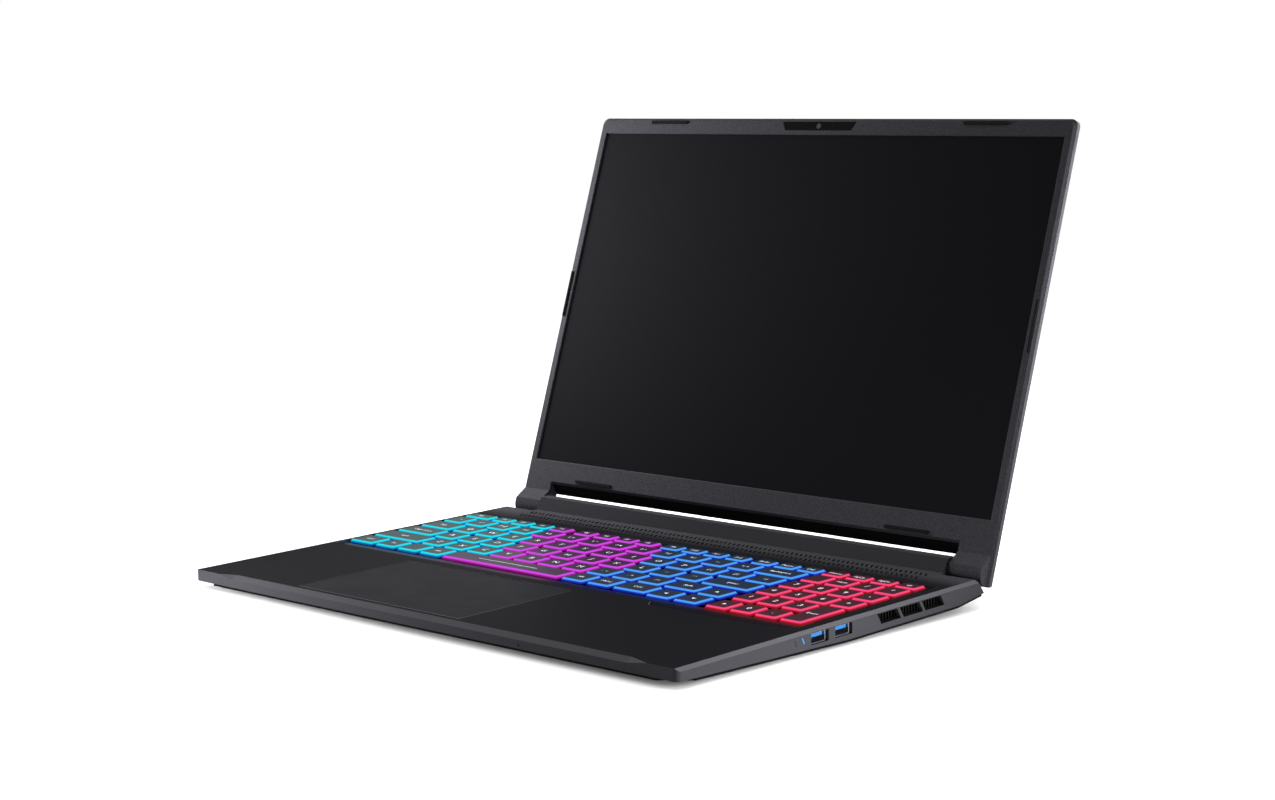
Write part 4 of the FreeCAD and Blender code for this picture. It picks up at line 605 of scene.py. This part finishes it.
def rounded_ring(low: Vector, high: Vector, draw: float, radius: float, z: float,
                 steps: int = 4) -> list[Place]:
    """Rectangle with round corners at one height, anticlockwise.

    Args:
        low: Lower left corner, at any height.
        high: Upper right corner, at any height.
        draw: How far the outline is drawn in from them.
        radius: Radius of the corners.
        z: Height of the ring.
        steps: Straight runs in each corner.

    Returns:
        The ring's points.
    """
    left, right = low.x + draw + radius, high.x - draw - radius
    front, back = low.y + draw + radius, high.y - draw - radius
    points = []
    for quarter, (x, y) in enumerate(((right, back), (left, back), (left, front), (right, front))):
        for step in range(steps + 1):
            angle = math.pi / 2 * (quarter + step / steps)
            points.append((x + radius * math.cos(angle), y + radius * math.sin(angle), z))
    return points


def link_object(name: str, data: bpy.types.ID) -> bpy.types.Object:
    """Puts a new object in the scene, at the origin.

    Args:
        name: Name of the object.
        data: Its mesh, text, lamp or camera.

    Returns:
        The object.
    """
    made = bpy.data.objects.new(name, data)
    bpy.context.scene.collection.objects.link(made)
    return made


def plain_mesh(made: bpy.types.Object) -> bpy.types.Mesh:
    """Plain mesh of an object with its modifiers, text or curve worked out."""
    graph = bpy.context.evaluated_depsgraph_get()
    return bpy.data.meshes.new_from_object(made.evaluated_get(graph))


@dataclass
class PieceMaker:
    """Mesh of one piece, collected face by face in one of the part's frames."""

    name: str
    to_row: Matrix
    mesh: bmesh.types.BMesh = field(default_factory=bmesh.new)

    def loft(self, rings: Sequence[Sequence[Place]], slots: Sequence[int]) -> list[Ring]:
        """Closed form through rings of equal numbers of points, from its foot to its top.

        Args:
            rings: Points of each ring, anticlockwise seen from the top.
            slots: Material slot of each band between two rings, and of the top last.

        Returns:
            The vertices of each ring.
        """
        made = [[self.mesh.verts.new(self.to_row @ Vector(p)) for p in ring] for ring in rings]
        for low, high, slot in zip(made, made[1:], slots):
            for i in range(len(low)):
                face = self.mesh.faces.new((low[i - 1], low[i], high[i], high[i - 1]))
                face.material_index = slot
        self.mesh.faces.new(made[-1]).material_index = slots[-1]
        self.mesh.faces.new(made[0][::-1]).material_index = slots[0]
        return made

    def done(self, materials: Iterable[Material], body: str, slot: str) -> bpy.types.Object:
        """Object of the finished mesh, riding on a body.

        Args:
            materials: Materials in the order of the slots.
            body: Body that the piece moves with.
            slot: The record's material slot; not used.

        Returns:
            The object.
        """
        mesh = bpy.data.meshes.new(self.name)
        self.mesh.to_mesh(mesh)
        self.mesh.free()
        for material in materials:
            mesh.materials.append(material)
        made = link_object(self.name, mesh)
        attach(made, body)
        log.info("%s: %d faces on %s", self.name, len(mesh.polygons), body)
        return made


class CapSlot(IntEnum):
    """Material slots of a key cap."""

    TOP = 0
    SKIRT = 1
    LEGEND = 2


@dataclass
class Keyboard:
    """Key caps with lit skirts and legends, one piece for each row that moves together.

    Lengths are in millimetres and angles in degrees. The drop, shoulder and hollow are counted in edges, the
    sink in dishes, and the rim shares say how much light each ring of a cap gets, from foot to top.
    """

    deck: DeckFrame
    finish: KeyFinish
    corner: float = 1.0
    edge: float = 0.28
    edge_drop: float = 0.6
    shoulder: float = 2.6
    shoulder_sink: float = 0.4
    hollow: float = 7.0
    dish: float = 0.08
    rim_height: float = 0.7
    rim_shares: tuple[float, ...] = (0.0, 0.75, 1.0, 1.0, 0.3, 0.0)
    legend_lift: float = 0.03
    letter: float = 5.4
    word: float = 3.5
    line_half: float = 23.0
    line_width: float = 0.45
    arrow: float = 1.5
    sign_inner: float = 1.0
    sign_outer: float = 1.35
    sign_start: float = 125.0
    sign_turn: float = 290.0
    sign_steps: int = 14
    sign_stroke: float = 0.3
    row_band: float = 5.0
    slack: float = 0.05
    materials: list[Material] = field(default_factory=list)

    def build(self) -> None:
        """Makes every row of keys."""
        self.materials = [self.finish.top(), self.finish.skirt(), self.finish.legend()]
        for row in KEY_ROWS:
            self.build_row(row)

    def caps(self, node: str) -> list[Key]:
        """Corners of each cap's foot and top in a node, in reading order.

        Args:
            node: Name of the key node.

        Returns:
            For each key: the foot's low and high corners and the top's low and high corners.
        """
        found = []
        for points in islands(node, self.deck.from_row):
            high = corners(points)[1]
            top = [p for p in points if p.z > high.z - self.slack]
            foot_z = min(p.z for p in points if p.x > high.x - self.slack)
            foot = [p for p in points if abs(p.z - foot_z) < self.slack]
            found.append((*corners(foot), *corners(top)))
        return sorted(found, key=self.reading_order)

    def reading_order(self, key: Key) -> tuple[int, float]:
        """Place of a key among the others: by rows from the back, then from the left."""
        low, high = key[2:]
        return -round((low.y + high.y) / (2 * self.row_band)), low.x

    def build_row(self, row: KeyRow) -> None:
        """Makes the keys of one node and puts them in its place.

        Args:
            row: The node's keys.
        """
        piece = PieceMaker(row.node.replace("keys", "caps") + "_lit", self.deck.to_row)
        verts = piece.mesh.verts
        glow = verts.layers.float_color.new("glow")
        deep = verts.layers.float_color.new("deep")
        rim = verts.layers.float.new("rim")
        for key, legend, zone in zip(self.caps(row.node), row.legends, row.glows(), strict=True):
            done = len(verts)
            rings = self.add_cap(piece, key)
            self.add_legend(piece, key, legend)
            verts.ensure_lookup_table()
            bright, low = zone.value
            for vert in verts[done:]:
                vert[glow] = (*bright, 1.0)
                vert[deep] = (*low, 1.0)
            for share, ring in zip(self.rim_shares, rings):
                for vert in ring:
                    vert[rim] = share
        made = piece.done(self.materials, f"{row.node}_body", "key")
        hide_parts(row.node)

    def add_cap(self, piece: PieceMaker, key: Key) -> list[Ring]:
        """Adds one cap with a flared skirt, a rounded edge and a dished top.

        Args:
            piece: Piece that the cap belongs to.
            key: Corners of the cap's foot and top.

        Returns:
            The vertices of each ring.
        """
        foot_low, foot_high, low, high = key
        foot, top = foot_low.z, high.z
        waist = 1 - self.rim_height / (top - foot)
        sections = ((foot_low, foot_high, 0.0, foot),
                    (foot_low.lerp(low, waist), foot_high.lerp(high, waist), 0.0, top - self.rim_height),
                    (low, high, 0.0, top - self.edge * self.edge_drop),
                    (low, high, self.edge, top),
                    (low, high, self.edge * self.shoulder, top - self.dish * self.shoulder_sink),
                    (low, high, self.edge * self.hollow, top - self.dish))
        rings = [rounded_ring(start, end, draw, self.corner, z) for start, end, draw, z in sections]
        return piece.loft(rings, (CapSlot.SKIRT,) * 3 + (CapSlot.TOP,) * 3)

    def add_legend(self, piece: PieceMaker, key: Key, legend: str) -> None:
        """Adds the sign on a key, in flat faces.

        Args:
            piece: Piece that the key belongs to.
            key: Corners of the cap's foot and top.
            legend: Text, the name of a drawn sign, or nothing.
        """
        low, high = key[2:]
        middle = (low + high) / 2
        middle.z = high.z - self.dish * self.shoulder_sink + self.legend_lift
        for outline in self.sign(legend):
            verts = [piece.mesh.verts.new(piece.to_row @ (middle + Vector((x, y, 0)))) for x, y in outline]
            piece.mesh.faces.new(verts).material_index = CapSlot.LEGEND

    def sign(self, legend: str) -> list[Outline]:
        """Draws a sign round its middle.

        Args:
            legend: Text, the name of a drawn sign, or nothing.

        Returns:
            The outlines of its faces.
        """
        quarters = {"right": 0, "up": 1, "left": 2, "down": 3}
        if legend in quarters:
            return [self.arrow_sign(quarters[legend] * math.pi / 2)]
        if legend == "line":
            half, thin = self.line_half, self.line_width / 2
            return [[(-half, -thin), (half, -thin), (half, thin), (-half, thin)]]
        if legend == "power":
            return self.power_sign()
        return self.text_sign(legend) if legend else []

    def arrow_sign(self, start: float) -> Outline:
        """Triangle that points along an angle in radians."""
        angles = [start + i * math.tau / 3 for i in range(3)]
        return [(self.arrow * math.cos(angle), self.arrow * math.sin(angle)) for angle in angles]

    def power_sign(self) -> list[Outline]:
        """Draws an open ring and a stroke, in strips of four-sided faces.

        Returns:
            The outlines of the faces.
        """
        inner, outer = self.sign_inner, self.sign_outer
        start, turn = math.radians(self.sign_start), math.radians(self.sign_turn)
        strips = []
        for i in range(self.sign_steps):
            a, b = (start + turn * step / self.sign_steps for step in (i, i + 1))
            strips.append([(r * math.cos(t), r * math.sin(t))
                           for r, t in ((inner, a), (outer, a), (outer, b), (inner, b))])
        half, foot = (outer - inner) / 2, self.sign_stroke
        return strips + [[(-half, foot), (half, foot), (half, outer), (-half, outer)]]

    def text_sign(self, legend: str) -> list[Outline]:
        """Draws printed text.

        Args:
            legend: The text.

        Returns:
            The outlines of its faces.
        """
        curve = bpy.data.curves.new("legend", "FONT")
        curve.body = legend
        curve.size = self.letter if len(legend) == 1 else self.word
        curve.align_x = "CENTER"
        curve.align_y = "CENTER"
        curve.resolution_u = 2
        text = link_object("legend", curve)
        mesh = plain_mesh(text)
        outlines = [[tuple(mesh.vertices[i].co.xy) for i in face.vertices] for face in mesh.polygons]
        bpy.data.objects.remove(text)
        bpy.data.curves.remove(curve)
        bpy.data.meshes.remove(mesh)
        return outlines


@dataclass
class Touchpad:
    """Click plate with a chamfer round its film, the chamfer painted as a pale metal highlight."""

    deck: DeckFrame
    corner: float = 1.6
    chamfer: float = 0.35
    drop: float = 0.12

    def build(self) -> None:
        """Makes the plate in the place of its plain solid."""
        low, high = corners(islands("touchpad", self.deck.from_row)[0])
        film = Plastic("touchpad_film", srgb(34, 34, 38), 0.45, 0.006, grain=0.3, depth=0.003, mottle=0.1)
        # Painted highlight: the chamfer is a pale metal standing for light caught along the pad's edge.
        edge = Metal("touchpad_chamfer_highlight", srgb(120, 122, 128), 0.35)
        sections = ((0.0, low.z), (0.0, high.z - self.drop), (self.chamfer, high.z))
        rings = [rounded_ring(low, high, draw, self.corner - draw, z) for draw, z in sections]
        piece = PieceMaker("touchpad_plate", self.deck.to_row)
        piece.loft(rings, (1, 1, 0))
        made = piece.done([film.material(), edge.material()], "touchpad", "touchpad")
        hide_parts("touchpad")


@dataclass
class CameraLens:
    """Camera lens in the dark window above the screen.

    Its profile gives radii and heights over the window's face, from the barrel's root to the glass.
    """

    lid: LidFrame
    height: float = 250.6
    face: float = -0.2
    profile: tuple[Point, ...] = ((1.75, -0.1), (1.75, 0.04), (1.6, 0.06), (1.25, 0.06), (1.15, 0.01),
                                  (0.575, 0.03))
    steps: int = 32

    def build(self) -> None:
        """Makes the barrel with its glass."""
        barrel = Plastic("lens_barrel", srgb(30, 30, 33), 0.3, grain=0.3, depth=0.002, mottle=0.1, edge=0.0)
        glass = Plastic("lens_glass", srgb(10, 14, 30), 0.06, 0.6, grain=0.3, depth=0.0, mottle=0.3, edge=0.0)
        turns = [math.tau * step / self.steps for step in range(self.steps)]
        rings = [[(radius * math.cos(turn), self.height + radius * math.sin(turn), self.face + rise)
                  for turn in turns] for radius, rise in self.profile]
        piece = PieceMaker("camera_lens", self.lid.to_row)
        piece.loft(rings, (0, 0, 0, 0, 1, 1))
        piece.done([barrel.material(), glass.material()], "lid", "camera_glass")


@dataclass
class LowerLip:
    """Lip along the lid's lower edge, over the rear bar, painted near black as shade.

    Its section has points in the lid's frame, up the screen and out of it.
    """

    lid: LidFrame
    end_gap: float = 0.6
    section: tuple[Point, ...] = ((8.78, -7.6), (9.56, -7.6), (14.5, -1.8), (14.25, -1.8))

    def build(self) -> None:
        """Makes the lip between the hinge blocks."""
        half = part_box("rear_bar")[1].x / MM + self.end_gap
        # Painted shade: the lip is near black, much darker than the lid shell it belongs to.
        finish = Plastic("lip_painted_shade", srgb(14, 14, 15), 0.6, 0.02, grain=0.8, depth=0.01, mottle=0.15,
                         edge=0.0)
        rings = [[(x, *point) for point in self.section] for x in (-half, half)]
        piece = PieceMaker("lid_lower_lip", self.lid.to_row)
        piece.loft(rings, (0, 0))
        piece.done([finish.material()], "lid", "lid_shell")


class Form(Enum):
    """Small forms that repeat, as the kind of node that makes each one at unit size."""

    BAR = "GeometryNodeMeshCube"
    DISC = "GeometryNodeMeshCylinder"


@dataclass
class Repeater:
    """Geometry Nodes tree that puts one small form at every point of a mesh."""

    form: Form
    sides: int = 20

    def tree(self) -> tuple[bpy.types.NodeTree, dict[str, str]]:
        """Builds the tree.

        Returns:
            The tree, and the identifier of each of its named inputs.
        """
        tree = bpy.data.node_groups.new(f"repeat_{self.form.name.lower()}", "GeometryNodeTree")
        inputs = {}
        for name, kind in (("Places", "NodeSocketGeometry"), ("Size", "NodeSocketVector"),
                           ("Turn", "NodeSocketVector"), ("Finish", "NodeSocketMaterial")):
            socket = tree.interface.new_socket(name, in_out="INPUT", socket_type=kind)
            inputs[name] = socket.identifier
        tree.interface.new_socket("Forms", in_out="OUTPUT", socket_type="NodeSocketGeometry")
        maker = NodeMaker(tree)
        start = maker.node("NodeGroupInput").outputs
        unit = {"Vertices": self.sides, "Radius": 0.5, "Depth": 1.0} if self.form is Form.DISC else None
        form = maker.node(self.form.value, unit).outputs["Mesh"]
        turn = maker.node("FunctionNodeEulerToRotation", {0: start["Turn"]}).outputs[0]
        spots = maker.node("GeometryNodeInstanceOnPoints", {
            "Points": start["Places"], "Instance": form, "Rotation": turn, "Scale": start["Size"]})
        real = maker.node("GeometryNodeRealizeInstances", {"Geometry": spots.outputs["Instances"]})
        finish = maker.node("GeometryNodeSetMaterial", {
            "Geometry": real.outputs["Geometry"], "Material": start["Finish"]})
        maker.node("NodeGroupOutput", {"Forms": finish.outputs["Geometry"]})
        return tree, inputs

    def spread(self, name: str, places: Sequence[Vector], size: Place, to_row: Matrix, material: Material,
               body: str, slot: str, turn: float = 0.0) -> None:
        """Puts the form at places of one frame, as one plain piece.

        Args:
            name: Name of the piece.
            places: Middles of the forms.
            size: Size of the form along its own axes.
            to_row: Matrix from the frame to the row frame.
            material: Material of the forms.
            body: Body that the piece moves with.
            slot: The record's material slot.
            turn: Turn of each form about the frame's Z, in degrees.
        """
        points = bpy.data.meshes.new(f"{name}_places")
        points.from_pydata(places, [], [])
        holder = link_object(f"{name}_places", points)
        modifier = holder.modifiers.new("repeat", "NODES")
        tree, inputs = self.tree()
        modifier.node_group = tree
        modifier[inputs["Size"]] = Vector(size)
        modifier[inputs["Turn"]] = Vector((0, 0, math.radians(turn)))
        modifier[inputs["Finish"]] = material
        plain = plain_mesh(holder)
        piece = PieceMaker(name, to_row)
        piece.mesh.from_mesh(plain)
        piece.mesh.transform(to_row)
        bpy.data.objects.remove(holder)
        bpy.data.meshes.remove(plain)
        piece.done([material], body, slot)


@dataclass
class SmallParts:
    """Small forms that repeat: socket contacts, foot ribs, and dark crosses and discs painted as the shade of
    screw recesses and pin holes.

    Sizes are in millimetres along each form's own axes, and places are in the frame of the deck or the lid.
    """

    deck: DeckFrame
    lid: LidFrame
    to_row: Matrix = field(default_factory=lambda: Matrix.Scale(MM, 4))
    contact: Place = (5.0, 1.0, 0.1)
    contact_count: int = 4
    contact_pitch: float = 2.2
    contact_proud: float = 0.025
    recess: Place = (2.4, 0.55, 0.04)
    rib: Place = (1.0, 7.6, 0.7)
    rib_pitch: float = 2.0
    rib_lap: float = 0.1
    foot_corner: float = 1.5
    microphone: Place = (0.8, 0.8, 0.03)
    microphone_place: Place = (33.0, 250.78, -0.14)
    pin_hole: Place = (1.0, 1.0, 0.04)
    pin_hole_place: Place = (76.5, 0.0, -4.5)

    def build(self) -> None:
        """Makes every group of forms."""
        self.contacts()
        self.screw_recesses()
        for node in ("front_feet", "rear_foot"):
            self.feet(node)
        self.pin_holes()

    @staticmethod
    def spaced(count: int, pitch: float) -> list[float]:
        """Places of a number of forms along a line, evenly about its middle."""
        return [(i - (count - 1) / 2) * pitch for i in range(count)]

    def contacts(self) -> None:
        """Puts gilt contacts under the tongue of each socket."""
        gilt = Metal("gilt", srgb(222, 178, 92), 0.25).material()
        places = []
        for points in islands("usb_tongues", self.deck.from_row):
            low, high = corners(points)
            middle = (low + high) / 2
            middle.z = low.z - self.contact_proud
            row = self.spaced(self.contact_count, self.contact_pitch)
            places += [middle + Vector((0, y, 0)) for y in row]
        Repeater(Form.BAR).spread("usb_contacts", places, self.contact, self.deck.to_row, gilt, "base",
                                  "socket_metal")

    def screw_recesses(self) -> None:
        """Puts a dark cross on the head of each cover screw, painted shade standing for its crossed recess.
        """
        # Painted shade: the recess is a thin near-black cross laid on the screw head, not a cut.
        dark = Plastic("screw_recess", srgb(16, 16, 17), 0.6, 0.1, grain=0.3, depth=0.01, mottle=0.2,
                       edge=0.0).material()
        places = []
        for points in islands("bottom_screws", self.to_row.inverted()):
            low, high = corners(points)
            places.append(Vector(((low.x + high.x) / 2, (low.y + high.y) / 2, low.z)))
        for name, turn in (("screw_recess_across", 45), ("screw_recess_along", -45)):
            Repeater(Form.BAR).spread(name, places, self.recess, self.to_row, dark, "base", "steel", turn)

    def feet(self, node: str) -> None:
        """Makes ribbed pads in the place of plain feet.

        Args:
            node: Name of the feet.
        """
        rubber = Plastic(f"{node}_rubber", srgb(20, 20, 21), 0.75, 0.08, grain=1.2, depth=0.04).material()
        pad = PieceMaker(f"{node}_pad", self.to_row)
        rib_height = self.rib[2]
        places = []
        for points in islands(node, self.to_row.inverted()):
            low, high = corners(points)
            pad.loft([rounded_ring(low, high, 0.0, self.foot_corner, z)
                      for z in (rib_height - self.rib_lap, high.z)], (0, 0))
            count = int((high.x - low.x - 2 * self.foot_corner) / self.rib_pitch)
            middle = (low + high) / 2
            middle.z = rib_height / 2
            places += [middle + Vector((x, 0, 0)) for x in self.spaced(count, self.rib_pitch)]
        made = pad.done([rubber], "base", "foot")
        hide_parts(node)
        Repeater(Form.BAR).spread(f"{node}_ribs", places, self.rib, self.to_row, rubber, "base", "foot")

    def pin_holes(self) -> None:
        """Puts near-black discs, painted shade standing for the two microphone holes in the bezel and the pin
        hole in the front wall.
        """
        # Painted shade: each hole is a thin near-black disc on the surface, not an opening.
        dark = Plastic("pin_hole", srgb(6, 6, 7), 0.8, 0.02, grain=0.3, depth=0.0, mottle=0.1,
                       edge=0.0).material()
        right = Vector(self.microphone_place)
        places = [Vector((-right.x, right.y, right.z)), right]
        Repeater(Form.DISC).spread("microphone_holes", places, self.microphone, self.lid.to_row, dark, "lid",
                                   "bezel")
        upright = Matrix.Translation(self.pin_hole_place) @ Matrix.Rotation(math.pi / 2, 4, "X")
        to_row = self.deck.to_row @ upright
        Repeater(Form.DISC).spread("front_pin_hole", [Vector()], self.pin_hole, to_row, dark, "base", "case")


@dataclass(frozen=True)
class Softbox:
    """Square lamp that faces a point, with places in metres and its spread in degrees."""

    name: str
    place: Place
    aim: Place
    size: float
    power: float
    spread: float = 180.0

    def build(self) -> None:
        """Puts the lamp in the scene."""
        data = bpy.data.lights.new(self.name, "AREA")
        data.size = self.size
        data.energy = self.power
        data.spread = math.radians(self.spread)
        lamp = link_object(self.name, data)
        lamp.location = self.place
        lamp.rotation_euler = (Vector(self.aim) - Vector(self.place)).to_track_quat("-Z", "Y").to_euler()
        lamp.visible_camera = False
        lamp.visible_glossy = False


SOFTBOXES = (
    Softbox("front_light", (-0.34, -0.28, 0.04), (-0.08, -0.17, 0.005), 0.07, 0.26, 50.0),
    Softbox("lid_light", (-0.38, 0.03, 0.22), (-0.12, 0.14, 0.17), 0.2, 1.7, 105.0),
    Softbox("side_light", (0.5, 0.02, 0.1), (0.18, -0.14, 0.01), 0.2, 0.62, 80.0),
    Softbox("top_light", (0.0, 0.2, 1.7), (0.0, 0.0, 0.1), 1.5, 14.0),
    Softbox("edge_light", (0.55, 0.32, 0.22), (0.18, 0.15, 0.19), 0.2, 0.6, 38.0),
    Softbox("rear_light", (0.3, 1.0, 0.5), (0.0, 0.1, 0.1), 0.6, 7.0),
)


@dataclass
class Studio:
    """White sweep, soft light and the camera at the photograph's place.

    The camera's angles are in degrees, and its distance and target in millimetres in the deck's frame. The
    floor, its contact shadow and the camera's reach are in metres.
    """

    deck: DeckFrame
    azimuth: float = 42.51
    elevation: float = 7.91
    roll: float = -0.98
    distance: float = 1328.3
    target: Place = (-4.4, 177.5, 89.6)
    focal_pixels: float = 2369.5
    frame_pixels: float = 1275.0
    sensor: float = 36.0
    reach: float = 100.0
    floor_size: float = 12.0
    ambient: float = 0.15
    paper: float = 0.7
    lift: float = 0.9
    contact: float = 0.02
    shadow: float = 0.05

    def build(self) -> None:
        """Makes the whole setting."""
        self.camera()
        self.world()
        self.floor()
        for softbox in SOFTBOXES:
            softbox.build()
        bpy.context.scene.view_settings.view_transform = "Standard"

    def camera(self) -> None:
        """Sets the camera where the photograph was taken."""
        azimuth, elevation, roll = (math.radians(a) for a in (self.azimuth, self.elevation, self.roll))
        level = Matrix.Rotation(azimuth, 4, "Z") @ Matrix.Rotation(math.pi / 2 - elevation, 4, "X")
        back = level.col[2].to_3d()
        place = self.deck.to_row @ (Vector(self.target) + back * self.distance)
        turn = Matrix.Rotation(self.deck.tilt, 4, "X") @ level @ Matrix.Rotation(roll, 4, "Z")
        data = bpy.data.cameras.new("camera")
        data.sensor_width = self.sensor
        data.lens = self.focal_pixels * self.sensor / self.frame_pixels
        data.clip_end = self.reach
        camera = link_object("camera", data)
        camera.matrix_world = Matrix.Translation(place) @ turn
        bpy.context.scene.camera = camera

    def world(self) -> None:
        """White backdrop to look at, and an even ambient light."""
        world = bpy.data.worlds.new("studio")
        world.use_nodes = True
        maker = NodeMaker(world.node_tree)
        light, white = (maker.node("ShaderNodeBackground", {"Color": WHITE, "Strength": strength})
                        for strength in (self.ambient, 1.0))
        mix = maker.node("ShaderNodeMixShader", {
            "Fac": maker.seen_rays(), 1: light.outputs[0], 2: white.outputs[0]})
        maker.node("ShaderNodeOutputWorld", {"Surface": mix.outputs[0]})
        bpy.context.scene.world = world

    def floor(self) -> None:
        """Pale floor that keeps the shadow."""
        mesh = bpy.data.meshes.new("floor")
        half = self.floor_size / 2
        sides = ((-1, -1), (1, -1), (1, 1), (-1, 1))
        mesh.from_pydata([(x * half, y * half, 0) for x, y in sides], [], [range(len(sides))])
        material = bpy.data.materials.new("pale_floor")
        material.use_nodes = True
        maker = NodeMaker(material.node_tree)
        near = maker.node("ShaderNodeAmbientOcclusion", {"Distance": self.contact})
        shade = maker.ramp(near.outputs["AO"], self.shadow, 1.0)
        paper = maker.node("ShaderNodeBsdfDiffuse", {"Color": (self.paper,) * 3})
        lift = maker.node("ShaderNodeEmission", {
            "Color": (self.lift,) * 3, "Strength": maker.math("MULTIPLY", maker.seen_rays(), shade)})
        both = maker.node("ShaderNodeAddShader", {0: paper.outputs[0], 1: lift.outputs[0]})
        maker.node("ShaderNodeOutputMaterial", {"Surface": both.outputs[0]})
        mesh.materials.append(material)
        link_object("floor", mesh)


@dataclass
class Shell:
    """The frame's own nodes, each with its finish."""

    deck: DeckFrame

    def finishes(self) -> tuple[tuple[Finish, tuple[str, ...]], ...]:
        """Finishes of the nodes that keep their solids.

        Returns:
            Each finish with the names of its nodes.
        """
        wall = Plastic("case_plastic", srgb(60, 60, 64), 0.5, 0.006, mottle=0.12, edge=0.0)
        dark_wall = Plastic("bar_plastic", srgb(46, 46, 49), 0.55, 0.006, mottle=0.12, edge=0.0)
        return (
            (CaseFinish(self.deck, wall), ("top_case", "port_frames")),
            (CaseFinish(self.deck, dark_wall), ("rear_bar",)),
            (Plastic("cover_plastic", srgb(12, 12, 13), 0.6, 0.02, grain=0.8, depth=0.03), ("bottom_cover",)),
            (Plastic("lid_paint", srgb(68, 68, 72), 0.5, 0.06, grain=0.5, depth=0.015), ("lid_back_cover",)),
            (Plastic("lid_strip", srgb(74, 74, 78), 0.5, 0.06, grain=0.5, depth=0.015), ("antenna_strip",)),
            (Plastic("bezel_plastic", srgb(56, 56, 60), 0.6, 0.02, grain=0.65, depth=0.05, mottle=0.35),
             ("screen_bezel",)),
            (Plastic("screen_film", srgb(23, 23, 25), 0.6, 0.004, grain=0.3, depth=0.0, mottle=0.1),
             ("display_panel",)),
            (Plastic("rubber", srgb(18, 18, 19), 0.75, 0.1, grain=1.2, depth=0.04), ("screen_bumpers",)),
            (Plastic("camera_glass", srgb(6, 6, 7), 0.12, 0.05, grain=0.4, depth=0.0, mottle=0.1),
             ("camera_window",)),
            (Plastic("key_plate", srgb(12, 12, 14), 0.35, 0.2), ("keyboard_plate",)),
            (Metal("steel", srgb(176, 178, 182)),
             ("bottom_screws", "touchpad_bracket", "usb_shells", "left_hinge_bracket", "right_hinge_bracket",
              "left_hinge_arm", "right_hinge_arm", "left_hinge_shaft", "right_hinge_shaft", "usb_c_sockets",
              "video_socket")),
            (Plastic("pipe_coating", srgb(15, 15, 16), 0.45, 0.08, grain=0.8),
             ("processor_plates", "heat_pipes")),
            (Metal("fins", srgb(120, 104, 92), 0.35), ("left_fin_stacks", "right_fin_stacks")),
            (Plastic("circuit_board", srgb(18, 44, 34), 0.4, 0.4, grain=2.0, depth=0.03, mottle=0.5),
             ("main_board", "memory_modules", "storage_drive", "wireless_card", "port_boards",
              "camera_module")),
            (Plastic("black_plastic", srgb(10, 10, 11), 0.45, 0.12),
             ("vent_grilles", "left_fan_housing", "right_fan_housing", "left_fan_rotor", "right_fan_rotor",
              "left_speaker", "right_speaker", "power_inlet", "audio_socket")),
            (Plastic("tongue_plastic", srgb(36, 104, 168), 0.4, 0.2), ("usb_tongues",)),
            (LightPipes(self.deck), ("status_lights",)),
            (Plastic("battery_wrap", srgb(24, 24, 26), 0.35, 0.4, grain=4.0, depth=0.05), ("battery_pack",)),
        )

    def dress(self) -> None:
        """Gives every kept node its material."""
        for finish, nodes in self.finishes():
            material = finish.material()
            for node in nodes:
                slots = frame["nodes"][node].data.materials
                slots.clear()
                slots.append(material)
                log.info("%s: %s", node, material.name)


def main() -> None:
    """Builds the studio, dresses the solids and adds the detailed pieces."""
    logging.basicConfig(level=logging.INFO, format="%(name)s %(message)s")
    deck = DeckFrame()
    Studio(deck).build()
    Shell(deck).dress()
    Keyboard(deck, KeyFinish()).build()
    Touchpad(deck).build()
    lid = LidFrame(deck)
    CameraLens(lid).build()
    LowerLip(lid).build()
    SmallParts(deck, lid).build()


if __name__ == "__main__":
    main()
